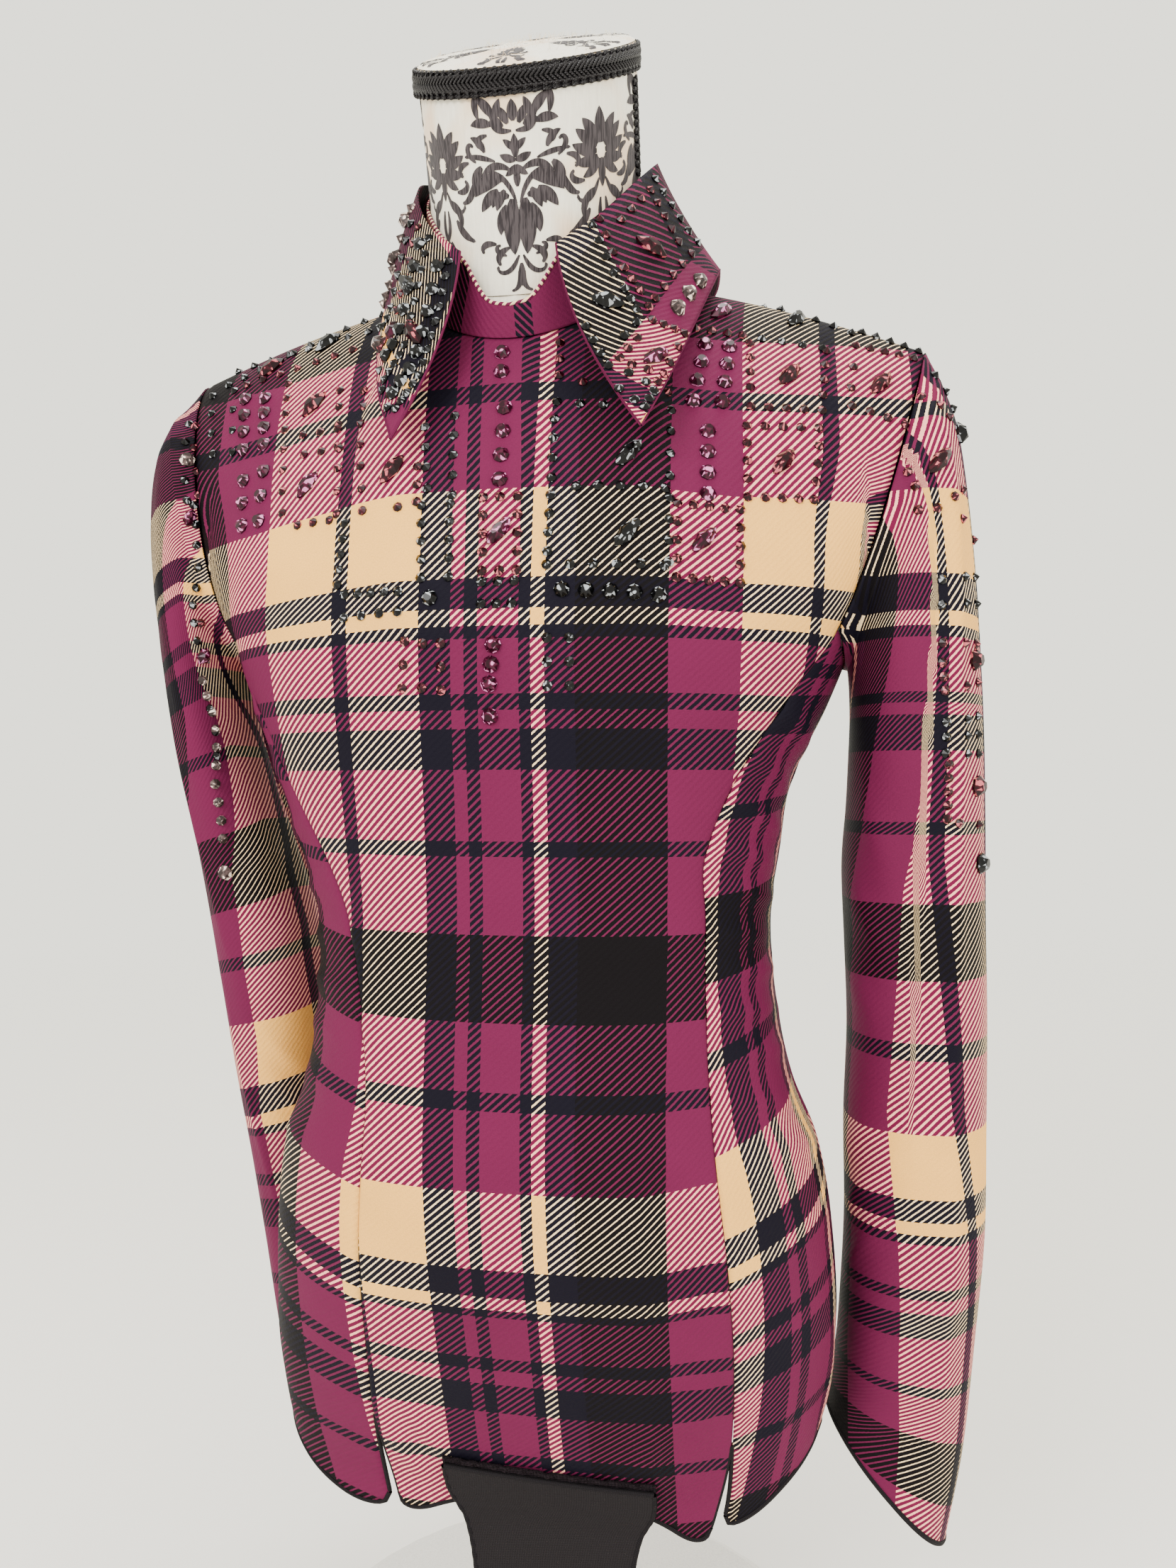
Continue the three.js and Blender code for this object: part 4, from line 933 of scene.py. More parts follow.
# Kinds of stone: colour, cut, then length, width and height in millimetres and tilt in degrees.
CUTS = {
    "cone": gem(8, 0), "round": gem(8, 0.52), "navette": gem(8, 0.42, 1.5, 0.46),
    "pear": gem(6, 0.45, 1.2, 0.7), "hex": gem(6, 0.5),
}
STONES = {
    "jet": ("jet", "cone", 4.7, 3.0, 0), "garnet": ("garnet", "cone", 4.7, 3.0, 0),
    "big_jet": ("jet", "round", 7.4, 3.4, 0), "plum_round": ("plum", "round", 7.8, 3.4, 0),
    "garnet_navette": ("garnet", "navette", 17, 4.4, 48), "jet_navette": ("jet", "navette", 17, 4.4, 48),
    "plum_navette": ("plum", "navette", 16, 4.4, 50), "big_smoke": ("smoke", "round", 8.4, 4.2, 0),
    "big_plum": ("plum", "pear", 10, 4.4, 60), "big_garnet": ("garnet", "hex", 10.5, 4.6, 20),
    "smoke": ("smoke", "cone", 5.4, 3.8, 0), "jet_hex": ("jet", "hex", 10.5, 4.6, 20),
}


def cloth_spot(name, u, w):
    """The point, normal and across direction of a cloth piece at cloth coordinates."""
    cloth = CLOTH[name]
    rows, cols = cloth.cloth.shape[:2]
    gap = np.hypot(cloth.cloth[..., 0] - u, cloth.cloth[..., 1] - w)
    j, i = np.unravel_index(int(np.argmin(gap)), gap.shape)
    j0, j1 = max(0, j - 1), min(rows - 1, j + 1)
    i0, i1 = max(0, i - 1), min(cols - 1, i + 1)
    grid = cloth.cloth
    by_i = (grid[j, i1] - grid[j, i0]) / (i1 - i0)
    by_j = (grid[j1, i] - grid[j0, i]) / (j1 - j0)
    step = np.linalg.solve(np.stack([by_i, by_j], -1), np.array([u, w]) - grid[j, i])
    step = np.clip(step, -1, 1)
    to_i = (cloth.points[j, i1] - cloth.points[j, i0]) / (i1 - i0)
    to_j = (cloth.points[j1, i] - cloth.points[j0, i]) / (j1 - j0)
    point = cloth.points[j, i] + to_i * step[0] + to_j * step[1]
    turn = np.linalg.inv(np.stack([by_i, by_j], -1))
    across = unit(to_i * turn[0, 0] + to_j * turn[1, 0])
    return point, cloth.normals[j, i], across


def stone_at(kind, point, normal, across):
    """Vertices and faces of one stone seated on the cloth."""
    _, cut, size, high, tilt = STONES[kind]
    verts, faces = CUTS[cut]
    across = unit(across - normal * (across @ normal))
    up = np.cross(normal, across)
    angle = math.radians(tilt)
    a = across * math.cos(angle) + up * math.sin(angle)
    b = np.cross(normal, a)
    out = verts[:, :1] * size * a + verts[:, 1:2] * size * b + verts[:, 2:] * high * normal
    return point - normal * 0.25 + out, faces


# ---------- shader maths ----------
class Value:
    """A shader socket that can stand in sums with numbers and other sockets."""

    def __init__(self, finish, socket):
        self.finish, self.socket = finish, socket

    def maths(self, operation, *terms):
        return self.finish.node("ShaderNodeMath", {"operation": operation}, dict(enumerate(terms)))

    def __add__(self, other):
        return self.maths("ADD", self, other)

    def __radd__(self, other):
        return self.maths("ADD", other, self)

    def __sub__(self, other):
        return self.maths("SUBTRACT", self, other)

    def __rsub__(self, other):
        return self.maths("SUBTRACT", other, self)

    def __mul__(self, other):
        return self.maths("MULTIPLY", self, other)

    def __rmul__(self, other):
        return self.maths("MULTIPLY", other, self)

    def __truediv__(self, other):
        return self.maths("DIVIDE", self, other)

    def __rtruediv__(self, other):
        return self.maths("DIVIDE", other, self)

    def __lt__(self, other):
        return self.maths("LESS_THAN", self, other)

    def __gt__(self, other):
        return self.maths("GREATER_THAN", self, other)

    def fraction(self):
        return self.maths("FRACT", self)

    def sine(self):
        return self.maths("SINE", self)

    def size(self):
        return self.maths("ABSOLUTE", self)

    def output(self, name):
        return Value(self.finish, self.socket.node.outputs[name])


class Finish:
    """A material and the nodes that make its colour, roughness and relief."""

    def __init__(self, name, sockets):
        self.material = bpy.data.materials.new(name)
        self.material.use_nodes = True
        self.tree = self.material.node_tree
        self.shader = self.tree.nodes["Principled BSDF"]
        for key, value in sockets.items():
            self.shader.inputs[key].default_value = value

    def node(self, kind, settings, sockets, output=0):
        """Adds a node: its settings first, with a ramp's stops, then its sockets."""
        node = self.tree.nodes.new(kind)
        for key, value in settings.items():
            if key != "stops":
                setattr(node, key, value)
                continue
            ramp = node.color_ramp
            ramp.interpolation = value[0]
            for k, (position, colour) in enumerate(value[1]):
                stop = ramp.elements[0] if k == 0 else ramp.elements.new(position)
                stop.position, stop.color = position, colour
                if k == 0:
                    ramp.elements.remove(ramp.elements[1])
        for key, value in sockets.items():
            if isinstance(value, Value):
                self.tree.links.new(value.socket, node.inputs[key])
            else:
                node.inputs[key].default_value = value
        return Value(self, node.outputs[output])

    def blend(self, share, a, b, how="MIX"):
        return self.node("ShaderNodeMix", {"data_type": "RGBA", "blend_type": how},
                         {0: share, 6: a, 7: b}, 2)

    def noise(self, place, scale, detail=2.0):
        return self.node("ShaderNodeTexNoise", {}, {"Vector": place, "Scale": scale, "Detail": detail})

    def scaled(self, colour, amount):
        return self.node("ShaderNodeVectorMath", {"operation": "SCALE"}, {0: colour, "Scale": amount})

    def place(self):
        return self.node("ShaderNodeTexCoord", {}, {}, "Object")

    def cloth_map(self):
        return self.node("ShaderNodeUVMap", {"uv_map": "cloth"}, {})

    def parts(self, vector):
        x = self.node("ShaderNodeSeparateXYZ", {}, {0: vector})
        return x, x.output("Y"), x.output("Z")

    def relief(self, height, distance, strength=1.0):
        return self.node("ShaderNodeBump", {}, {"Height": height, "Distance": distance,
                                                "Strength": strength})

    def feed(self, **sockets):
        for key, value in sockets.items():
            self.tree.links.new(value.socket, self.shader.inputs[key.replace("_", " ")])
        return self.material


def linear(*colour):
    """A linear colour from the 0 to 255 numbers of a screen colour."""
    part = [c / 255 for c in colour]
    return tuple(c / 12.92 if c < 0.04045 else ((c + 0.055) / 1.055) ** 2.4 for c in part)


def full(colour):
    return (*colour[:3], 1.0)


# ---------- materials ----------
COVER = {"cream": 0.41, "plum": 0.5, "navy": 0.6, "black": 0.68}
BARE_TINT = (1.0, 0.7, 0.28, 1.0)
PINK_TINT = (1.12, 0.66, 0.86, 1.0)


def stripes(rows, colours):
    total, at, stops = sum(width for width, _ in rows), 0.0, []
    for width, name in rows:
        stops.append((at / total, (*colours[name][:3], COVER[name])))
        at += width
    return "CONSTANT", stops


def plaid_crepe(settings):
    """Twill plaid: a warp and a weft ramp chosen between by fine slanting lines."""
    finish = Finish("plaid crepe", {"Specular IOR Level": 0.06})
    colours = {name: getattr(settings, name) for name in COVER}
    cloth = finish.cloth_map()
    u, w, _ = finish.parts(cloth)
    warp_round = sum(width for width, _ in WARP) * MM
    weft_round = sum(width for width, _ in WEFT) * MM
    warp = finish.node("ShaderNodeValToRGB", {"stops": stripes(WARP, colours)},
                       {0: ((u - WARP_START * MM) / warp_round).fraction()})
    weft = finish.node("ShaderNodeValToRGB", {"stops": stripes(WEFT, colours)},
                       {0: (w / weft_round).fraction()})
    wobble = finish.noise(cloth, 900, 1.0) * (settings.twill * 0.16)
    slant = ((u + wobble) / (settings.twill * 1.097) + w / settings.twill).fraction()
    share = slant < (warp.output("Alpha") - weft.output("Alpha") + 0.5)
    colour = finish.blend(share, weft, warp)
    bare = (warp.output("Alpha") < 0.45) * (weft.output("Alpha") < 0.45)
    both = warp.output("Alpha") + weft.output("Alpha")
    pink = (both > 0.9) * (both < 0.92)
    colour = finish.blend(bare, colour, BARE_TINT, "MULTIPLY")
    colour = finish.blend(pink, colour, PINK_TINT, "MULTIPLY")
    yarn = finish.noise(cloth, 1400, 2.0)
    cloud = finish.noise(cloth, 22, 2.0)
    colour = finish.scaled(colour, 0.72 + yarn * 0.36 + cloud * 0.2)
    ripple = (slant * 2 * math.pi).sine()
    height = yarn * 0.55 + ripple * 0.16 + finish.noise(cloth, 420, 2.0) * 0.5
    return finish.feed(Base_Color=colour, Roughness=0.5 + yarn * 0.3,
                       Normal=finish.relief(height, 0.0005, 0.7))


def knit(name, colour, other, scale, rough):
    """Ribbed or looped knit, for the strap, tapes, zip coil and turned or serged edges."""
    finish = Finish(name, {"Specular IOR Level": 0.08})
    cloth = finish.cloth_map()
    u, w, _ = finish.parts(cloth)
    wale = (u * (2 * math.pi / scale)).sine()
    course = (w * (2 * math.pi / (scale * 0.8)) + u * 900).sine()
    fleck = finish.noise(cloth, 1.2 / scale, 2.0)
    lift = 0.5 + wale * 0.2 + course * 0.2 + fleck * 0.2
    # Painted shade: the colour follows the relief, darker in its grooves and lighter on its ridges, with
    # random flecks.
    colour = finish.blend(lift, full(colour), full(other))
    return finish.feed(Base_Color=colour, Roughness=rough + fleck * 0.2,
                       Normal=finish.relief(lift, scale * 0.5, 0.8))


def dotted_edge(settings):
    """The twill's edge: plum and cream dots in turn."""
    finish = Finish("dotted edge", {"Specular IOR Level": 0.1})
    place = finish.place()
    x, _, z = finish.parts(place)
    dots = ((x.size() + z) / 0.0042).fraction() < 0.45
    yarn = finish.noise(place, 1400, 2.0)
    colour = finish.blend(dots, full(settings.plum), full(settings.cream))
    return finish.feed(Base_Color=finish.scaled(colour, 0.75 + yarn * 0.4), Roughness=0.55 + yarn * 0.2)


def stone_glass(name, colour, painted_glint):
    """Glass with painted glints and painted shade in its base colour: a noise of each facet's direction and
    place gives it a darker, a mid or a lighter colour.
    """
    finish = Finish(name, {"Specular IOR Level": 0.16, "Coat Weight": 0.04, "Coat Roughness": 0.04})
    facet = finish.node("ShaderNodeNewGeometry", {}, {}, "True Normal")
    place = finish.place()
    lean = finish.node("ShaderNodeVectorMath", {"operation": "MULTIPLY_ADD"},
                       {0: place, 1: (140, 140, 140), 2: facet})
    # Painted glints and painted shade: this noise of the facet's direction picks each facet's colour.
    painted_glint_noise = finish.noise(lean, 2.3, 0.0)
    painted_shade_colour = full([c * 0.25 for c in colour])
    ramp = finish.node("ShaderNodeValToRGB", {"stops": (
        "LINEAR", [(0.45, painted_shade_colour), (0.56, full(colour)), (0.63, full(colour)), (0.67, full(painted_glint))])},
        {0: painted_glint_noise})
    cloud = finish.noise(place, 260, 1.0)
    return finish.feed(Base_Color=ramp, Roughness=0.08 + cloud * 0.1)


def neck_cloth(settings):
    """Napped woven cover: pale, with faint upright streaks."""
    finish = Finish("napped cover", {"Sheen Weight": 0.35, "Specular IOR Level": 0.15})
    place = finish.place()
    streak = finish.noise(finish.node("ShaderNodeVectorMath", {"operation": "MULTIPLY"},
                                      {0: place, 1: (1, 1, 0.12)}), 700, 3.0)
    nap = finish.noise(place, 160, 3.0)
    colour = finish.blend(streak, full(settings.nap_shade), full(settings.nap))
    warm = finish.node("ShaderNodeValToRGB", {"stops": (
        "LINEAR", [(0.5, (1, 1, 1, 1)), (0.66, full(settings.nap_warm))])},
        {0: finish.noise(place, 26, 1.0)})
    colour = finish.blend(1.0, colour, warm, "MULTIPLY")
    return finish.feed(Base_Color=colour, Roughness=0.75 + nap * 0.2,
                       Normal=finish.relief(nap * 0.7 + streak * 0.5, 0.0008, 0.6))


def damask_ink(settings):
    finish = Finish("damask figure", {"Sheen Weight": 0.1, "Specular IOR Level": 0.25})
    place = finish.place()
    streak = finish.noise(finish.node("ShaderNodeVectorMath", {"operation": "MULTIPLY"},
                                      {0: place, 1: (1, 1, 0.08)}), 1300, 2.0)
    lines = finish.node("ShaderNodeValToRGB", {"stops": (
        "LINEAR", [(0.42, full(settings.figure)), (0.56, full(settings.figure_streak))])}, {0: streak})
    return finish.feed(Base_Color=lines, Roughness=0.7 + streak * 0.2,
                       Normal=finish.relief(streak, 0.0004, 0.4))


def satin_cord():
    finish = Finish("black gimp cord", {"Specular IOR Level": 0.3})
    cloth = finish.cloth_map()
    u, w, _ = finish.parts(cloth)
    twist = ((w * 5200 + u * 3000)).sine()
    # Painted shade: the colour follows the twist's relief, darker in its grooves and lighter on its ridges.
    colour = finish.blend(0.5 + twist * 0.5, (0.002, 0.0014, 0.0019, 1), (0.012, 0.009, 0.011, 1))
    return finish.feed(Base_Color=colour, Roughness=0.42 + twist * 0.1,
                       Normal=finish.relief(twist, 0.0003, 0.7))


def metal(name, colour, rough):
    finish = Finish(name, {"Metallic": 0.9})
    place = finish.place()
    brush = finish.noise(place, 220, 3.0)
    tone = finish.scaled(finish.blend(brush, full(colour), full([c * 1.3 for c in colour])), 1.0)
    return finish.feed(Base_Color=tone, Roughness=rough + brush * 0.16,
                       Normal=finish.relief(brush, 0.0002, 0.3))


def stand_paint():
    finish = Finish("stand powder coat", {"Coat Weight": 0.15, "Coat Roughness": 0.3})
    grain = finish.noise(finish.place(), 900, 2.0)
    colour = finish.blend(grain, full(linear(196, 192, 186)), full(linear(228, 225, 220)))
    return finish.feed(Base_Color=colour, Roughness=0.38 + grain * 0.15,
                       Normal=finish.relief(grain, 0.0003, 0.4))


MADE = {}  # materials made so far
# Knitted parts: name, darker colour in the grooves (painted shade) and lighter on the ridges, width of a
# wale in metres and least roughness.
KNITS = {
    "turned": ("turned edge", (0.09, 0.008, 0.036), (0.13, 0.012, 0.052), 0.0011, 0.6),
    "serged": ("serged edge", (0.0025, 0.002, 0.0024), (0.012, 0.01, 0.012), 0.0011, 0.6),
    "strap": ("strap knit", (0.0075, 0.0062, 0.0072), (0.016, 0.0135, 0.015), 0.0012, 0.7),
    "tape": ("loop tape", (0.004, 0.003, 0.0038), (0.014, 0.009, 0.012), 0.0017, 0.75),
    "zip_tape": ("zip tape", (0.004, 0.0035, 0.0045), (0.012, 0.01, 0.013), 0.0009, 0.6),
    "zip_coil": ("zip coil", (0.016, 0.0135, 0.019), (0.036, 0.03, 0.042), 0.0012, 0.4),
}
# Colour of the painted glints on each kind of stone.
STONE_PAINTED_GLINT = {
    "garnet": (0.5, 0.11, 0.13), "jet": (0.3, 0.32, 0.34), "plum": (0.62, 0.2, 0.42),
    "smoke": (0.9, 0.72, 0.62),
}


def material(name):
    """Makes each material once, when the first piece needs it."""
    if name not in MADE:
        scene = bpy.context.scene
        makers = {
            "plaid": lambda: plaid_crepe(scene.shirt_cloth),
            "dotted": lambda: dotted_edge(scene.shirt_cloth),
            "zip_metal": lambda: metal("zip metal", (0.47, 0.47, 0.49), 0.28),
            "neck": lambda: neck_cloth(scene.shirt_form),
            "damask": lambda: damask_ink(scene.shirt_form),
            "gimp": satin_cord,
            "stand": stand_paint,
        }
        for key, row in KNITS.items():
            makers[key] = lambda knitted=row: knit(*knitted)
        # Each stone material takes its painted glint colour from this table.
        for colour, light in STONE_PAINTED_GLINT.items():
            makers[colour] = lambda tone=colour, glint_colour=light: stone_glass(
                tone + " stone", getattr(scene.shirt_stones, tone), glint_colour)
        MADE[name] = makers[name]()
    return MADE[name]


# ---------- damask figure and gimp ----------
# One half of the figure, mirrored about its middle line: strokes as (a, h, heading, length,
# width, bend, tighten), in millimetres and degrees; tighten curls the end up into a scroll.
FIGURE = [
    (2.7, 46, -83, 26, 8.6, -14, 0), (5.6, 43.5, -58, 14, 5.2, -34, 0), (4.4, 47, 20, 11, 4.4, -100, 0),
    (0.9, 44, 72, 24, 3.2, -62, 0.4), (3.0, 58, 30, 17, 4.4, -88, 0.2), (6.5, 55, 2, 18, 6.6, -58, 0),
    (9.5, 50, -28, 13, 5.2, -34, 0), (6.2, 50, -52, 10, 4.2, -20, 0), (10, 62, 18, 17, 3.2, -20, 0.2),
    (20, 62, 40, 15, 3.6, 150, 1.3), (24, 62, -10, 13, 3.8, -130, 1.1), (17, 60, -40, 12, 5.0, -60, 0),
    (22, 54, -75, 14, 4.6, 60, 0.6), (15, 66, 70, 10, 3.6, -60, 0),
    (0, 51, 90, 8, 3.4, 0, 0), (0, 63, 90, 10, 4.2, 0, 0), (0, 62, 8, 8, 3.6, 24, 0),
    (0, 60, -52, 7, 3.0, 30, 0),
    (0.4, 66, 52, 7, 3.0, -20, 0), (0, 60, -90, 7, 3.4, 0, 0),
    (1.0, 20, -66, 22, 3.4, 120, 1.2), (1.4, 12, -100, 14, 3.4, 70, 0.8), (5.5, 24, -20, 13, 4.6, -96, 0.5),
    (7, 20, 20, 12, 3.4, 130, 1.3), (0, 16, -90, 12, 3.4, 0, 0), (12, 26, 10, 13, 4.4, -110, 1.0),
    (0, 78, 90, 9, 5.0, 0, 0), (2.6, 77, 66, 9, 4.2, -20, 0), (4.8, 76, 36, 9, 3.6, 10, 0),
    (1, 74, 0, 14, 3.6, 64, 0.8), (9.5, 80, 64, 12, 4.6, -40, 0), (8.5, 79, 100, 9, 3.8, 20, 0),
    (10.5, 77, 20, 11, 4.2, -40, 0), (13, 73, -10, 12, 3.4, -130, 1.2), (17, 80, 70, 12, 4.6, 50, 0.2),
]
FLOWER = [
    (0, 2, 90, 15, 6.4, 0, 0), (1.6, 2, 60, 14, 5.8, -14, 0), (2.4, 1, 32, 14, 5.4, 10, 0),
    (2.6, -1, 4, 14, 5.2, 30, 0), (2.2, -3, -24, 13, 4.8, 40, 0), (1.4, -4, -54, 12, 4.4, 40, 0),
    (0, -4, -90, 12, 4.4, 0, 0), (2, -12, -62, 22, 3.4, 100, 1.1), (5, -16, -30, 16, 5.0, -80, 0.2),
    (8, -24, -60, 16, 5.2, 40, 0.2), (1.5, -20, -80, 20, 3.4, -60, 0.6), (10, -12, 0, 13, 4.0, 120, 1.2),
    (3, -34, -70, 16, 5.0, 50, 0.2), (0, -38, -90, 10, 3.6, 0, 0), (8, -40, -50, 13, 3.2, -120, 1.1),
    (1, -46, -60, 16, 3.4, 110, 1.2),
]


FIGURE_SHIFT = 4.0  # from the neck's front to the middle of the first figure


def stroke(a, h, heading, length, wide, bend, tighten, hand):
    """The line of one stroke and its width along it, full near its start and pointed at its end."""
    steps = 16
    t = np.linspace(0, 1, steps)
    angle = np.radians(heading + bend * t ** (1 + tighten) * (1 + tighten * 0.6))
    pace = length / (steps - 1) * (1 - 0.35 * tighten * t)
    x = a + np.concatenate([[0], np.cumsum(np.cos(angle[:-1]) * pace[:-1])])
    y = h + np.concatenate([[0], np.cumsum(np.sin(angle[:-1]) * pace[:-1])])
    width = wide * np.sin(math.pi * np.clip(0.08 + 0.92 * t, 0, 1)) ** 0.8
    if tighten:
        width = width * 0.75 + 0.9 * np.exp(-((t - 0.95) / 0.07) ** 2)
    return np.stack([x * hand, y], -1), width


def figure_parts(place, figure, at, rise, low, high, size=1.0):
    """Ribbons of one figure at a place, kept between two heights."""
    parts = []
    for a, h, heading, length, wide, bend, tighten in figure:
        upright = abs(heading) == 90 and not bend
        for hand in (1,) if upright else (1, -1):
            line, width = stroke(a * size, h * size, heading, length * size, wide * size,
                                 bend, tighten, hand)
            line = line + [at, rise]
            keep = (line[:, 1] > low) & (line[:, 1] < high)
            if keep.sum() > 3:
                first = int(np.argmax(keep))
                last = len(keep) - int(np.argmax(keep[::-1]))
                parts.append(ribbon(place, line[first:last], width[first:last]))
    return parts


def gimp_parts(place, length, half, pitch, centre=0.0):
    """A gimp braid: looped cords along both edges and a plaited rib between them."""
    count = max(2, round(length / pitch))
    step = length / count
    t = np.linspace(0, 1, count * 12 + 1)
    parts = []
    for edge in (1, -1):
        turn = t * count * 2 * math.pi
        a = t * length + step * 0.42 * np.sin(turn)
        h = centre + edge * (half - 1.9 + 1.35 * -np.cos(turn))
        path = place(a, h, 0.75 + 0.3 * np.sin(turn))
        parts.append(tube(path, RIM_SLOPE + 0 * path, 0.95, 0.8, 6))
        k = np.arange(count * 2)[:, None]
        s = np.linspace(0, 1, 5)
        a = k * step / 2 + s * step * 0.75
        h = centre + edge * (0.1 + (half - 2.9) * s) + 0 * k
        paths = place(a, h, 1.15 + 0.35 * np.sin(s * math.pi) + 0 * k)
        parts += [tube(path, RIM_SLOPE + 0 * path, 0.7, 0.6, 5) for path in paths]
    return parts


# ---------- the operators' work ----------
def paint_node(name, made):
    """Gives a node that is kept from the frame its material."""
    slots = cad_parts[name].data.materials
    slots.clear()
    slots.append(made)


def cut_body():
    settings = bpy.context.scene.shirt_cloth
    for panel in PANELS:
        points, phi = panel_points(panel, settings.grid / MM)
        cloth, place = body_cloth(panel, points, phi)
        relief = np.maximum(ridges(place, points[..., 2], FOLDS[panel.name]), -2)
        piece = cloth_piece(panel.name, sewn(points, relief, 0.7), -1, cloth, settings.thick / MM)
        finish_piece(piece, material("plaid"), "plaid_crepe", panel.node)
        wide, long, area = flat_size(points)


SLEEVES = ((1, "sleeve_by_right", "sleeve_right"), (-1, "sleeve_by_left", "sleeve_left"))
LEAVES = ((1, "leaf_by_right", "collar_leaf_right"), (-1, "leaf_by_left", "collar_leaf_left"))


def set_sleeves():
    settings = bpy.context.scene.shirt_cloth
    for hand, name, node in SLEEVES:
        pitch = settings.grid / MM
        points, share = sleeve_points(hand, 2 * round(140 / pitch), round(540 / pitch))
        cloth, turn, fall = sleeve_cloth(hand, points, share)
        relief = ridges(turn * SLEEVE_TURN, fall, [
            (a * SLEEVE_TURN, b, c * SLEEVE_TURN, d, wide, high)
            for a, b, c, d, wide, high in SLEEVE_FOLDS[hand]])
        relief *= ease(fall / 12)
        normals = facing(points, hand)
        points = points + normals * relief[..., None]
        piece = cloth_piece(name, points, hand, cloth, settings.thick / MM)
        finish_piece(piece, material("plaid"), "plaid_crepe", node)
        wide, long, area = flat_size(points)


def set_collar():
    settings = bpy.context.scene.shirt_cloth
    thick = settings.thick / MM
    points = stand_points(150, 30)
    run = lengths(points, 1)
    cloth = np.stack([STAND_GRAIN[0] + lengths(points, 0), STAND_GRAIN[1] + run - run[:, [75]]], -1)
    stand = cloth_piece("collar_band", points, 1, cloth, thick)
    finish_piece(stand, material("plaid"), "plaid_crepe", "collar_stand")
    wide, long, area = flat_size(points)
    for hand, name, node in LEAVES:
        points = leaf_points(hand, 80, 44)
        piece = cloth_piece(name, points, hand, leaf_cloth(hand, points), thick)
        finish_piece(piece, material("plaid"), "plaid_crepe", node)
        wide, long, area = flat_size(points)


def bind_collar():
    """A turned edge round each leaf and a dotted one along the band's front."""
    rims = []
    for _, name, _ in LEAVES:
        cloth = CLOTH[name]
        for line in (np.s_[0], np.s_[:, 0]):
            path, normals = cloth.points[line], cloth.normals[line]
            rims.append(tube(path - normals * 0.5, normals, 0.85, 0.5, 6))
    finish_piece(joined("leaf_edges", rims), material("turned"), "plaid_crepe")
    band = CLOTH["collar_band"]
    middle = band.points.shape[1] // 2
    near = np.s_[-1, middle - 26:middle + 27]
    path, normals = band.points[near], band.normals[near]
    rim = tube(path - normals * 0.5, normals, 1.0, 0.9, 8)
    finish_piece(joined("band_edge", [rim]), material("dotted"), "plaid_crepe")


def serge_edges():
    parts = []
    for panel in PANELS:
        cloth = CLOTH[panel.name]
        p, n = cloth.points, cloth.normals
        rim = p[0] - n[0] * 0.6
        down_way = unit(p[0] - p[1])
        parts.append(tube(rim + down_way * 0.5, down_way, 1.5, 1.15))
        for column, slit in ((0, panel.slits[0]), (-1, panel.slits[1])):
            line = p[:, column]
            stop = int(np.argmax(line[:, 2] > SLIT_TOP - 8))
            if slit:
                inward = unit(p[:, 0] - p[:, 1]) if column == 0 else unit(p[:, -1] - p[:, -2])
                base = line[:stop] - n[:stop, column] * 0.6 + inward[:stop] * 0.3
                parts.append(tube(base, inward[:stop], 1.2, 1.05))
    for _, name, _ in SLEEVES:
        cloth = CLOTH[name]
        way = unit(cloth.points[-1] - cloth.points[-2])
        parts.append(tube(cloth.points[-1] - cloth.normals[-1] * 0.6 + way * 0.5, way, 1.6, 1.2))
    piece = joined("serged_edges", parts)
    finish_piece(piece, material("serged"), "serged_edge")


def fit_zip():
    z = np.linspace(ZIP_BOTTOM + 1, ARM_Z, 110)[:-1]
    s = np.linspace(0, 0.985, 80)
    middle = np.concatenate([torso(BACK + 0 * z, z), yoke(-1, 0 * s, s)])
    run = lengths(middle[None], 1)[0]
    pitch = 2.4
    at = np.arange(pitch, run[-1] - pitch, pitch)
    centre = np.stack([np.interp(at, run, middle[:, k]) for k in range(3)], -1)
    along = unit(np.gradient(centre, axis=0))
    across = np.array([1.0, 0, 0]) + 0 * centre
    away = unit(np.cross(across, along))
    across = np.cross(along, away)
    away = np.where((away[:, 1] < 0)[:, None], -away, away)
    parts = []
    for side in (-1, 1):
        for k in range(len(centre)):
            shift = centre[k] + along[k] * (pitch / 2 if side > 0 else 0) - away[k] * 0.5
            t = np.linspace(-0.6, 2.1, 4)[:, None] * side
            parts.append(tube(shift + across[k] * t, along[k], 0.62, 0.55, 6))
    chain = joined("zip_teeth", parts)
    finish_piece(chain, material("zip_coil"), "zip_coil")
    sides = []
    for side in (-1, 1):
        edge = centre + across * (2.7 * side)
        grid = np.stack([centre + across * (0.2 * side), edge], 1) - away[:, None] * 1.1
        sides.append(sheet_part(grid, side))
    tape = joined("zip_tapes", sides)
    finish_piece(tape, material("zip_tape"), "zip_coil", "zip_chain")
    paint_node("zip_slider", material("zip_metal"))


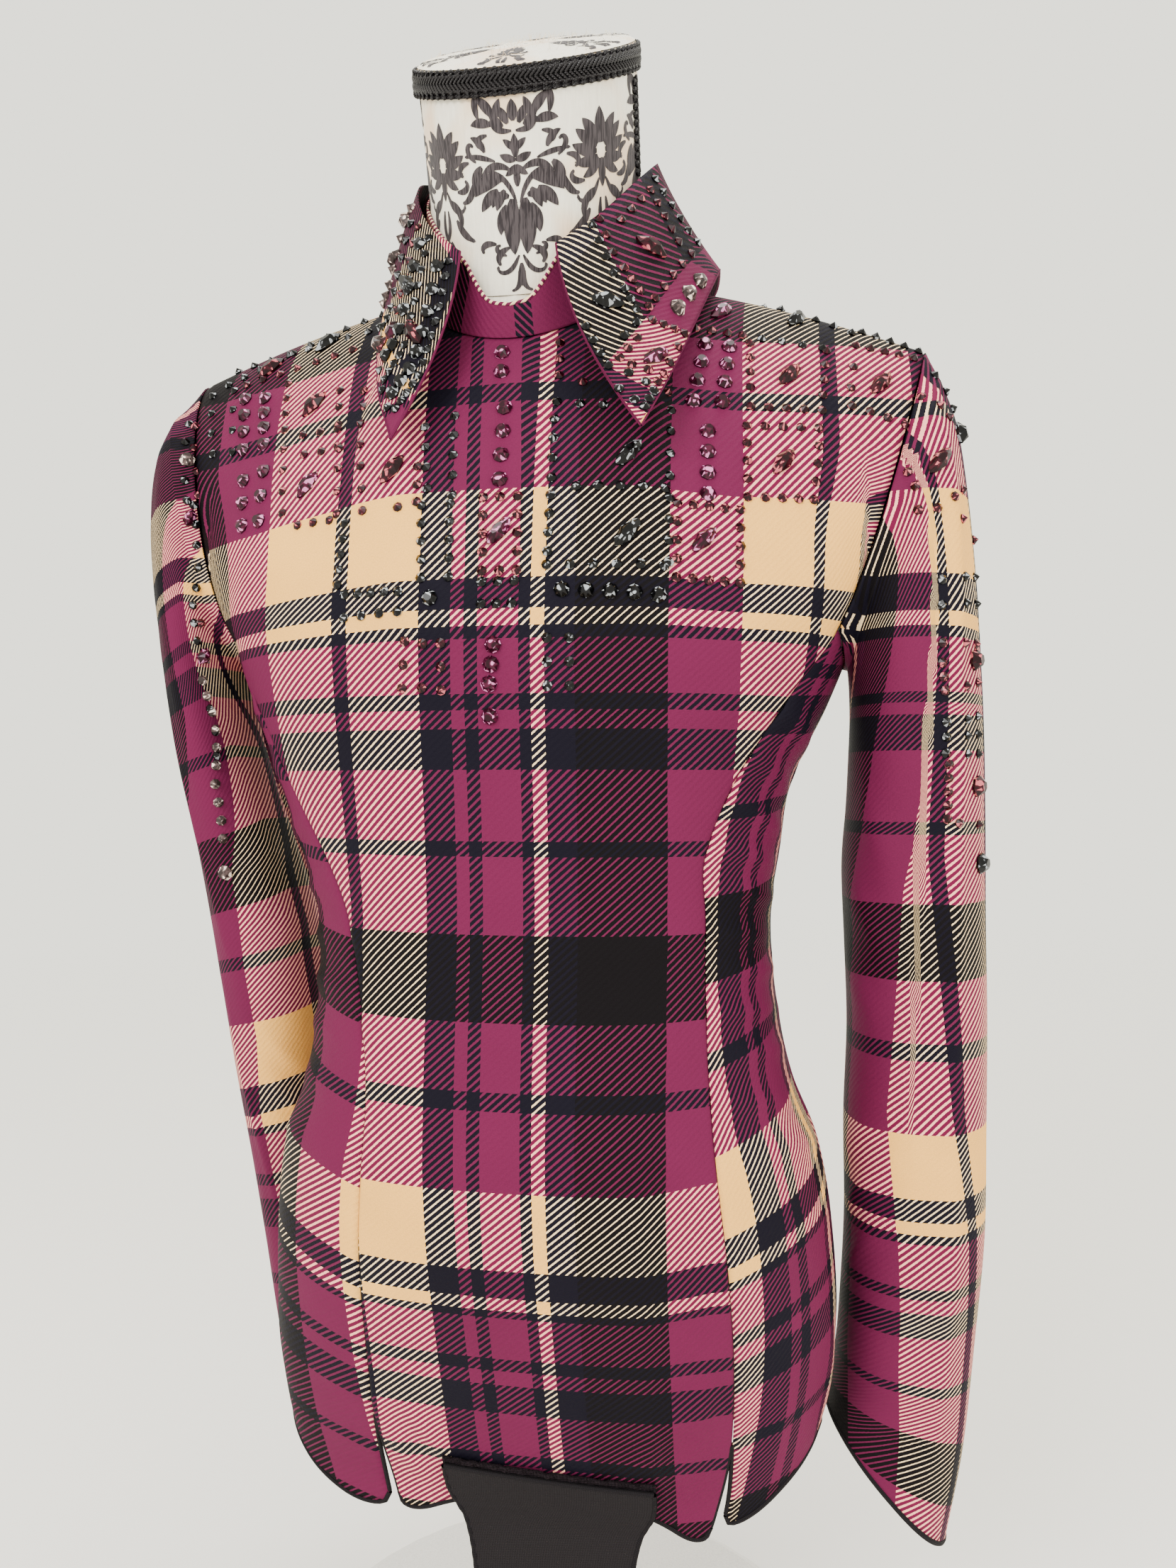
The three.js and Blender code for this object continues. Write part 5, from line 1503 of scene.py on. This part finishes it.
def hang_strap():
    strap = strap_points(60, 60)
    u = lengths(strap, 1)
    piece = cloth_piece("strap", strap, -1, np.stack([u, lengths(strap, 0)], -1), 1.6)
    finish_piece(piece, material("strap"), "strap_knit", "crotch_strap")
    wide, long, area = flat_size(strap)
    tape = tape_points(80, 14)
    rough = np.random.default_rng(4)
    fuzz = ridges(lengths(tape, 1), lengths(tape, 0), [
        (x, y, x + 3, y + 1, 1.2, 0.7) for x, y in rough.uniform([0, 0], [104, 16], (90, 2))])
    normals = facing(tape, -1)
    tape = tape + normals * np.minimum(fuzz, 1.2)[..., None]
    hook = cloth_piece("loop_tape", tape, -1, np.stack([lengths(tape, 1), lengths(tape, 0)], -1), 1.0)
    finish_piece(hook, material("tape"), "loop_tape", "strap_tape")
    wide, long, area = flat_size(tape)
    parts = []
    n = facing(strap, -1)
    for column in (0, -1):
        line = strap[:, column] - n[:, column] * 0.8
        wave = np.sin(np.arange(len(line)) * 1.6)[:, None] * 0.25
        parts.append(tube(line + n[:, column] * wave, np.array([1.0, 0, 0]), 1.5, 1.2))
    for row in (0, -1):
        line = strap[row] - n[row] * 0.8
        parts.append(tube(line, np.array([0, 0, 1.0]), 1.4, 1.2))
    hairs = []
    for a, b in rough.uniform([0, 0], [1, 1], (420, 2)):
        i, j = int(a * 80), 14 - int((b ** 3) * 5)
        root = tape[j, i]
        lean = normals[j, i] * rough.uniform(0.6, 1.6)
        lean = lean + np.array([rough.uniform(-1, 1), 0, rough.uniform(0.2, 2.2)])
        bend = np.array([rough.uniform(-0.6, 0.6), -0.3, 0.2])
        t = np.linspace(0, 1, 4)[:, None]
        hairs.append(tube(root + lean * t + bend * t * t, np.array([1.0, 0.1, 0]), 0.11, 0.11, 3))
    edge = joined("strap_overlock", parts)
    finish_piece(edge, material("serged"), "strap_knit")
    fringe = joined("tape_loops", hairs)
    finish_piece(fringe, material("tape"), "loop_tape")


# Rows of stones on each piece, by kind: both ends as places counted in stripes across and down the
# plaid, then how many. A stone on its own has just its place. Most rows run beside a stripe's edge
# or down its middle.
STONE_ROWS = {
    "front": {
        "plum_round": [
            (6.5, -2.55, 6.5, -2.2, 2), (6.6, -0.9, 6.5, -0.1, 4), (6.4, 4.15, 6.3, 4.85, 3),
            (6.3, 6.4), (11.45, -2.85, 11.3, -1.2, 4), (11.8, -2.85, 11.7, -1.3, 4),
            (11.5, -0.7, 11.5, 0, 4), (-0.65, -2.9, -0.55, -1.5, 4), (-0.3, -2.8, -0.2, -1.5, 4),
            (-0.5, -0.7, -0.55, -0.15, 3), (-0.15, -0.75, -0.2, -0.15, 3)],
        "garnet": [
            (9.15, -2.7, 9.2, -2.1, 3), (10, -1.9), (2.95, -0.3, 2.95, 0.1, 3), (2.7, 0.15),
            (12.1, -2.95, 12.1, -2.1, 4), (12.1, -1.15, 13, -1.05, 5), (13.5, -2.85, 13.1, -2, 4),
            (14.25, -2.55, 14.2, -2.15, 2), (14.2, -1.4, 14.9, -0.9, 4), (14.3, -3, 15.2, -2.8, 5),
            (11.3, -3.15, 12, -3.1, 4), (10.95, -2.75, 10.95, -1.55, 4), (2.85, 4.05, 2.8, 4.9, 3),
            (3.75, 4.1, 3.75, 4.95, 3), (3.2, 4.1, 3.15, 4.9, 2), (0.05, -3, 0.2, -0.15, 8),
            (0.45, 0.05, 0.9, 0.1, 3), (0.4, -1.3, 0.9, -1.05, 3), (0.45, -0.8, 0.95, -0.75, 3),
            (0.85, -2.5, 1, 0.05, 7), (2, -2.35, 2.2, 0.1, 7), (-0.7, -3.2, 0.9, -3.3, 7)],
        "plum_navette": [(6.5, 0.5), (11.45, 0.55), (11.65, -3.5), (0.55, -0.4)],
        "jet": [
            (9.2, -0.95, 10.25, -0.9, 3), (9.15, -0.75, 9.15, -0.1, 4), (9.95, 0, 10.95, 0, 5),
            (11, -0.9, 11, 0.85, 8), (9.15, 0.1, 9.1, 0.75, 4), (9.1, 0.9, 10.95, 0.9, 6),
            (6.1, 1.2, 6.9, 1.2, 3), (6.1, 1.9, 6.85, 1.9, 3), (4, -0.85, 4, 0.05, 5),
            (3.05, -0.75, 3.2, -0.05, 4), (3.05, 0.15, 3.1, 1, 5), (3.95, 0.15, 3.95, 1, 5),
            (12.25, -3.05, 13.25, -2.9, 4), (12.25, -3.85, 14.25, -3.25, 6), (14.4, -3.3, 15.4, -3, 5),
            (9.15, 4.05, 9.15, 4.9, 3), (9.85, 4.05, 9.85, 4.9, 3), (1.7, 0.2, 1.4, 0.95, 5),
            (2, 1.25, 2.75, 1.4, 5), (2, 2.1, 2.75, 2.1, 4), (-0.9, -3.15, -0.75, -1.55, 4),
            (-1.05, -3.6, 1.15, -3.6, 8), (-1.05, -3.3, 1.4, -4, 10), (-1.25, -3.15, -1.1, -1.8, 4)],
        "garnet_navette": [
            (2.6, -0.3), (12.6, -2.35), (12.5, -0.4), (14.6, -2.25), (0.5, -2.35), (-0.35, -3.4)],
        "big_jet": [(3.4, 1.65), (9.6, 1.5, 10.9, 1.65, 5)],
        "jet_navette": [(10.55, -0.35), (10.55, 0.55), (12.7, -3.45), (0.45, -3.6)],
    },
    "sleeve_by_right": {
        "garnet": [
            (12.05, -0.35, 11.75, 0.3, 3), (13.65, 0.25, 14.75, -0.05, 3),
            (14.65, -2.1, 14.9, -1.05, 3), (13.5, 4.15, 14.75, 4.1, 3), (13.5, 4.5, 13.65, 4.75, 2),
            (13.8, 5, 14.75, 4.8, 3), (14.05, 8.2, 14.05, 8.95, 5), (14.2, 9, 14.7, 9.3, 2),
            (14.5, 0.35, 15.35, 0.5, 2)],
        "garnet_navette": [(14.2, -0.35)],
        "jet": [
            (15.65, -2.55, 15.85, -1, 4), (13.5, 1.25, 14.9, 1, 3), (13.4, 1.9, 14.9, 1.7, 3),
            (14, 7.25, 14.7, 7.05, 3), (14, 7.65, 14.7, 7.55, 3), (14, 8.05, 14.7, 8.05, 3)],
        "jet_hex": [(15.4, -0.85), (14.75, 10.45)],
        "big_garnet": [(14.65, 4.4), (14.65, 8.5)],
    },
    "sleeve_by_left": {
        "jet": [
            (9.7, -2.35, 11.45, 0.4, 6), (11.3, 0.15, 12.15, 1.45, 4), (12.35, 2.5, 12.3, 6.5, 5),
            (11.9, 8.25, 11.75, 9.45, 3)],
        "big_smoke": [(10.5, -0.75), (11.9, 11.5)],
        "garnet": [(10.05, -2.25, 11.15, -0.05, 4), (12.6, 4.55, 12.5, 6.5, 2)],
        "big_plum": [(11.4, 0.35), (12.4, 6.25)],
        "smoke": [(12.05, 7.5, 11.7, 10.05, 6), (11.65, 10.3, 11.8, 11.05, 4)],
    },
    "leaf_by_right": {
        "jet": [
            (9.65, 15.05, 10.4, 15.1, 4), (10.6, 15.05, 10.85, 15.05, 3),
            (10.95, 15.15, 10.95, 15.45, 2), (10.1, 13.1, 10.9, 12.9, 6),
            (10.55, 15.95, 11.05, 16.05, 4), (11.35, 15.95, 11.65, 15.95, 2),
            (11.4, 16.7, 11.7, 16.8, 2), (11.85, 16.05, 11.9, 16.85, 3)],
        "garnet": [
            (9.7, 14.9, 10.25, 14.95, 3), (10.45, 14.9, 10.75, 14.85, 3), (10.95, 14.85),
            (10.1, 14.6, 10.15, 13.85, 4), (10.3, 13.85, 10.75, 13.85, 4),
            (10.95, 13.6, 10.95, 14.7, 5), (11.1, 15, 11.65, 15.05, 4), (11.1, 15.35, 11.1, 15.8, 3),
            (11.3, 15.8, 11.8, 15.7, 3), (11.7, 15.25, 11.75, 15.5, 2), (11.8, 15.85)],
        "garnet_navette": [(10.55, 14.4)],
        "jet_navette": [(10.55, 15.4)],
        "big_smoke": [(11.3, 14.25, 11.3, 14.75, 3)],
        "plum_navette": [(11.5, 15.5)],
    },
    "leaf_by_left": {
        "jet": [
            (10.95, 16.25, 6.75, 19.05, 13), (10.9, 15.45, 6.9, 16.25, 12),
            (10.7, 14.8, 8.85, 15.25, 8), (6.5, 18.15, 7.4, 15.15, 5)],
        "garnet": [(10.8, 15.05, 7.4, 15.55, 10)],
        "smoke": [(10.75, 14.55, 9.1, 14.85, 8)],
        "big_jet": [(10.8, 15.9, 6.95, 17.25, 8), (10.75, 15.3, 8.3, 15.75, 7)],
        "big_smoke": [(10.55, 14.4), (10.15, 14.5), (7.2, 15.45)],
        "jet_navette": [(10.35, 15.35)],
        "garnet_navette": [(10.1, 15.95)],
        "plum_round": [(9.45, 15.45)],
    },
}
# Rings of garnets round a cell of the front's plaid: its left, top, right and bottom counted in
# stripes, then how many stones along it and down it.
STONE_RINGS = [
    (6.1, 0.1, 6.95, 0.95, 3, 5), (11.1, 0.15, 11.95, 1.05, 5, 5), (12.05, -0.8, 12.95, 0, 5, 5),
]


def stone_lines():
    """Every row as its piece, its kind, both ends in millimetres of cloth, and how many."""
    lines = []
    for name, kinds in STONE_ROWS.items():
        for kind, rows in kinds.items():
            for row in rows:
                x0, y0, x1, y1, count = row if len(row) > 2 else row * 2 + (1,)
                ends = np.stack([at_stripe(ACROSS, [x0, x1]), at_stripe(ALONG, [y0, y1])], -1)
                lines.append((name, kind, ends[0], ends[1], count))
    for x0, y0, x1, y1, along, down_it in STONE_RINGS:
        left, right = at_stripe(ACROSS, [x0, x1])
        top, bottom = at_stripe(ALONG, [y0, y1])
        step = (bottom - top) / (down_it - 1)
        for w in (top, bottom):
            lines.append(("front", "garnet", np.array([left, w]), np.array([right, w]), along))
        for u in (left, right):
            ends = np.array([[u, top + step], [u, bottom - step]])
            lines.append(("front", "garnet", ends[0], ends[1], down_it - 2))
    return lines


def set_stones():
    found = {}
    for name, kind, start, end, count in stone_lines():
        for t in np.linspace(0, 1, count):
            point, normal, across = cloth_spot(name, *mix(start, end, t))
            found.setdefault(STONES[kind][0], []).append(stone_at(kind, point, normal, across))
    for tone, stones in found.items():
        verts, faces, start = [], [], 0
        for points, sides in stones:
            verts.append(points)
            faces += [[k + start for k in side] for side in sides]
            start += len(points)
        piece = link(tone + "_stones", worn(np.concatenate(verts)), faces, False)
        finish_piece(piece, material(tone), "stones")


def dress_form():
    a = np.linspace(0, NECK_ROUND, 145)
    h = np.linspace(-9, 99.6, 60)[:, None]
    points = on_neck(a, h, 0.35 + 0 * a)
    parts = [sheet_part(points, 1)]
    r = np.linspace(0.02, 1.0, 22)[:, None]
    top = on_cap(a + 0 * r, r + 0 * a, 0.25)
    parts.append(sheet_part(top, 1))
    cover = joined("neck_cover", parts)
    finish_piece(cover, material("neck"), "form_cover", "neck_cap")
    paint_node("form_body", material("neck"))

    def on_cover(x, y):
        return on_neck(x, y, 0.62)

    def on_top(x, y):
        return on_cap(x, np.clip(1 - y / NECK_RADIUS, 0.03, 0.97), 0.5)

    ribbons = []
    repeats = 4
    for k in range(repeats):
        at = k * NECK_ROUND / repeats + FIGURE_SHIFT
        middle = at + NECK_ROUND / repeats / 2
        for figure, spot, rise in ((FIGURE, at, 0), (FLOWER, middle, 62)):
            ribbons += figure_parts(on_cover, figure, spot, rise, -6, 90)
    for k in range(6):
        at = k * NECK_ROUND / 6
        ribbons += figure_parts(on_top, FLOWER, at, 26, 1, 50, 0.8)
    figure = joined("damask_figure", ribbons)
    finish_piece(figure, material("damask"), "form_cover")
    flat_band = np.stack([on_rim(a, -0.4 + 0 * a, 1.0), on_rim(a, -12.8 + 0 * a, 1.4)])
    around = [sheet_part(flat_band, -1)]

    def on_band(x, y, out):
        return on_rim(x, y, 1.0 + np.asarray(out))

    around += gimp_parts(on_band, NECK_ROUND, 6.4, 4.5, -6.6)
    braid = joined("rim_gimp", around)
    finish_piece(braid, material("gimp"), "gimp_braid", "neck_braid")

    def on_side(x, y, out):
        turn = 1.45 + np.asarray(y) / 54.5
        level = 2.4 + np.asarray(x) / 27.0
        return neck_point(turn, level, 0.4 + np.asarray(out))

    side = gimp_parts(on_side, 32.0, 3.4, 2.6)
    narrow = joined("side_gimp", side)
    finish_piece(narrow, material("gimp"), "gimp_braid", "neck_side_braid")
    hairs = []
    rough = np.random.default_rng(9)
    for turn, share in rough.uniform([0, 0.1], [NECK_ROUND, 1.0], (260, 2)):
        root = on_cap(turn, share, 0.3)
        lean = np.array([rough.uniform(-2, 2), rough.uniform(-2, 1), rough.uniform(1.0, 3.2)])
        t = np.linspace(0, 1, 4)[:, None]
        bend = rough.uniform(-1, 1, 3)
        hairs.append(tube(root + lean * t + bend * t * t, np.array([1.0, 0.2, 0]), 0.1, 0.1, 3))
    fuzz = joined("cap_fuzz", hairs)
    finish_piece(fuzz, material("neck"), "form_cover")
    for name in ("stand_base", "stand_pole"):
        paint_node(name, material("stand"))


# Where the camera stands before the stage leans with the form, how far it is turned, and its lens.
EYE = (0.1281, -0.607, 0.520)
EYE_TURN = math.radians(10)
LENS = 27.05


def light_stage():
    settings = bpy.context.scene.shirt_stage
    scene = bpy.context.scene
    steps = 96
    rings = [0.0, 0.3, 0.6, 1.0, 1.6, 2.4, 4.0, 7.0]
    turn = np.arange(steps) / steps * 2 * math.pi
    verts = [(r * math.cos(t), r * math.sin(t), 0.0) for r in rings[1:] for t in turn] + [(0, 0, 0)]
    faces = [[k, (k + 1) % steps, len(verts) - 1] for k in range(steps)]
    for r in range(len(rings) - 2):
        faces += [[r * steps + k, (r + 1) * steps + k, (r + 1) * steps + (k + 1) % steps,
                   r * steps + (k + 1) % steps] for k in range(steps)]
    floor = link("floor", np.array(verts), faces)
    finish = Finish("pale floor", {"Specular IOR Level": 0.1})
    place = finish.place()
    grain = finish.noise(place, 60, 2.0)
    colour = finish.blend(grain, full(settings.floor), full([c * 0.98 for c in settings.floor]))
    finish.feed(Base_Color=colour, Roughness=0.8 + grain * 0.1)
    far = finish.node("ShaderNodeVectorMath", {"operation": "LENGTH"}, {0: place}, 1)
    share = finish.node("ShaderNodeMapRange", {}, {0: far, 1: 0.7, 2: 2.2})
    glow = finish.node("ShaderNodeEmission", {}, {"Color": full(settings.room),
                                                  "Strength": settings.room_light})
    shade = finish.tree.nodes["Principled BSDF"].outputs[0]
    join = finish.node("ShaderNodeMixShader", {}, {0: share, 1: Value(finish, shade), 2: glow})
    finish.tree.links.new(join.socket, finish.tree.nodes["Material Output"].inputs[0])
    floor.data.materials.append(finish.material)
    world = bpy.data.worlds.new("studio")
    scene.world = world
    world.use_nodes = True
    sky = world.node_tree.nodes["Background"]
    sky.inputs[0].default_value = full(settings.room)
    sky.inputs[1].default_value = settings.room_light
    for name, spot, size, power in (
            ("key", (-0.9, -1.9, 1.9), 1.3, settings.key), ("fill", (1.5, -1.5, 1.0), 1.4, settings.fill),
            ("top", (0.2, 0.3, 2.4), 1.2, settings.top)):
        lamp = bpy.data.lights.new(name, "AREA")
        lamp.size, lamp.energy, lamp.shape = size, power, "DISK"
        light = bpy.data.objects.new(name, lamp)
        light.location = spot
        aim = Vector((0, 0, 0.45)) - light.location
        light.rotation_euler = aim.to_track_quat("-Z", "Y").to_euler()
        scene.collection.objects.link(light)
    camera = bpy.data.objects.new("camera", bpy.data.cameras.new("camera"))
    camera.data.lens, camera.data.sensor_width = LENS, 36
    pivot = Matrix.Translation((0, 0, FORM_BOTTOM * MM))
    level = Matrix.Translation(EYE) @ Euler((math.pi / 2, 0, EYE_TURN)).to_matrix().to_4x4()
    camera.matrix_world = (Matrix.Translation((ORIGIN.x, ORIGIN.y, 0)) @ pivot
                           @ Matrix.Rotation(-LEAN, 4, "X") @ pivot.inverted() @ level)
    scene.collection.objects.link(camera)
    scene.camera = camera


# ---------- settings ----------
def colour_setting(name, description, default):
    return bpy.props.FloatVectorProperty(name=name, description=description, default=default,
                                         subtype="COLOR", size=3, min=0, max=1)


def length_setting(name, description, default):
    return bpy.props.FloatProperty(name=name, description=description, default=default,
                                   unit="LENGTH", min=0)


class ShirtCloth(bpy.types.PropertyGroup):
    plum: colour_setting("Plum", "Colour of the plum yarn", (0.108, 0.0092, 0.042))
    cream: colour_setting("Cream", "Colour of the cream yarn", (0.84, 0.62, 0.36))
    navy: colour_setting("Navy", "Colour of the blue-black yarn", (0.0048, 0.0038, 0.0085))
    black: colour_setting("Black", "Colour of the black yarn", (0.0036, 0.0026, 0.0034))
    twill: length_setting("Twill line", "Distance down the cloth between twill lines", 0.0036)
    grid: length_setting("Grid", "Size of the squares that the cloth is made of", 0.003)
    thick: length_setting("Thickness", "Thickness of the cloth", 0.001)


class ShirtStones(bpy.types.PropertyGroup):
    garnet: colour_setting("Garnet", "Colour of the garnet stones", (0.036, 0.0028, 0.0085))
    jet: colour_setting("Jet", "Colour of the jet stones", (0.0042, 0.0042, 0.005))
    plum: colour_setting("Plum", "Colour of the plum stones", (0.06, 0.0045, 0.021))
    smoke: colour_setting("Smoke", "Colour of the smoky stones", (0.11, 0.075, 0.072))


class ShirtForm(bpy.types.PropertyGroup):
    nap: colour_setting("Nap", "Colour of the napped cover", (0.93, 0.88, 0.74))
    nap_shade: colour_setting("Nap shade", "Darker tone of the cover", (0.72, 0.66, 0.55))
    nap_warm: colour_setting("Nap warmth", "Warm tint of some places on the cover", linear(250, 228, 208))
    figure: colour_setting("Figure", "Colour of the damask figure", (0.013, 0.0085, 0.0105))
    figure_streak: colour_setting("Figure streak", "Paler streaks of the figure", (0.05, 0.04, 0.043))


class ShirtStage(bpy.types.PropertyGroup):
    room: colour_setting("Room", "Colour of the room round the shirt", (1.0, 0.98, 0.86))
    room_light: bpy.props.FloatProperty(name="Room light", description="Strength of the room's light",
                                        default=2.05, min=0)
    floor: colour_setting("Floor", "Colour of the floor", linear(236, 233, 228))
    key: bpy.props.FloatProperty(name="Key light", description="Power of the main light",
                                 default=60, min=0, unit="POWER")
    fill: bpy.props.FloatProperty(name="Fill light", description="Power of the side light",
                                  default=22, min=0, unit="POWER")
    top: bpy.props.FloatProperty(name="Top light", description="Power of the light overhead",
                                 default=24, min=0, unit="POWER")


# ---------- operators ----------
class CutBody(bpy.types.Operator):
    """Cuts and sews the seven plaid panels of the body"""
    bl_idname = "show_shirt.cut_body"
    bl_label = "Cut the body panels"

    def execute(self, context):
        cut_body()
        return {"FINISHED"}


class SetSleeves(bpy.types.Operator):
    """Sets both sleeves into their armholes"""
    bl_idname = "show_shirt.set_sleeves"
    bl_label = "Set the sleeves"

    def execute(self, context):
        set_sleeves()
        return {"FINISHED"}


class SetCollar(bpy.types.Operator):
    """Makes the collar's band and its two leaves"""
    bl_idname = "show_shirt.set_collar"
    bl_label = "Set the collar"

    def execute(self, context):
        set_collar()
        bind_collar()
        return {"FINISHED"}


class SergeEdges(bpy.types.Operator):
    """Serges the hems, slits and cuffs"""
    bl_idname = "show_shirt.serge_edges"
    bl_label = "Serge the edges"

    def execute(self, context):
        serge_edges()
        return {"FINISHED"}


class FitZip(bpy.types.Operator):
    """Fits the back zip's teeth, tapes and slider"""
    bl_idname = "show_shirt.fit_zip"
    bl_label = "Fit the zip"

    def execute(self, context):
        fit_zip()
        return {"FINISHED"}


class HangStrap(bpy.types.Operator):
    """Hangs the knit strap from its loop tape"""
    bl_idname = "show_shirt.hang_strap"
    bl_label = "Hang the strap"

    def execute(self, context):
        hang_strap()
        return {"FINISHED"}


class SetStones(bpy.types.Operator):
    """Sets every row of stones on the cloth"""
    bl_idname = "show_shirt.set_stones"
    bl_label = "Set the stones"

    def execute(self, context):
        set_stones()
        return {"FINISHED"}


class DressForm(bpy.types.Operator):
    """Covers the form's neck, trims it with gimp and finishes the stand"""
    bl_idname = "show_shirt.dress_form"
    bl_label = "Dress the form"

    def execute(self, context):
        dress_form()
        return {"FINISHED"}


class LightStage(bpy.types.Operator):
    """Lays the floor and sets the lights and the camera"""
    bl_idname = "show_shirt.light_stage"
    bl_label = "Light the stage"

    def execute(self, context):
        light_stage()
        return {"FINISHED"}


OPERATORS = (CutBody, SetSleeves, SetCollar, SergeEdges, FitZip, HangStrap, SetStones, DressForm,
             LightStage)
SETTINGS = {"shirt_cloth": ShirtCloth, "shirt_stones": ShirtStones, "shirt_form": ShirtForm,
            "shirt_stage": ShirtStage}


class ShirtPanel(bpy.types.Panel):
    """Lists the settings and the steps of making the shirt"""
    bl_idname = "VIEW3D_PT_show_shirt"
    bl_label = "Show Shirt"
    bl_space_type = "VIEW_3D"
    bl_region_type = "UI"
    bl_category = "Show Shirt"

    def draw(self, context):
        for name in SETTINGS:
            group = getattr(context.scene, name)
            box = self.layout.box()
            for setting in group.bl_rna.properties:
                if setting.identifier not in ("rna_type", "name"):
                    box.prop(group, setting.identifier)
        for operator in OPERATORS:
            self.layout.operator(operator.bl_idname)


def register():
    for name, group in SETTINGS.items():
        bpy.utils.register_class(group)
        setattr(bpy.types.Scene, name, bpy.props.PointerProperty(type=group))
    for operator in OPERATORS:
        bpy.utils.register_class(operator)
    bpy.utils.register_class(ShirtPanel)


def unregister():
    bpy.utils.unregister_class(ShirtPanel)
    for operator in reversed(OPERATORS):
        bpy.utils.unregister_class(operator)
    for name, group in SETTINGS.items():
        delattr(bpy.types.Scene, name)
        bpy.utils.unregister_class(group)


def main():
    register()
    bpy.ops.show_shirt.cut_body()
    bpy.ops.show_shirt.set_sleeves()
    bpy.ops.show_shirt.set_collar()
    bpy.ops.show_shirt.serge_edges()
    bpy.ops.show_shirt.fit_zip()
    bpy.ops.show_shirt.hang_strap()
    bpy.ops.show_shirt.set_stones()
    bpy.ops.show_shirt.dress_form()
    bpy.ops.show_shirt.light_stage()


if __name__ == "__main__":
    main()
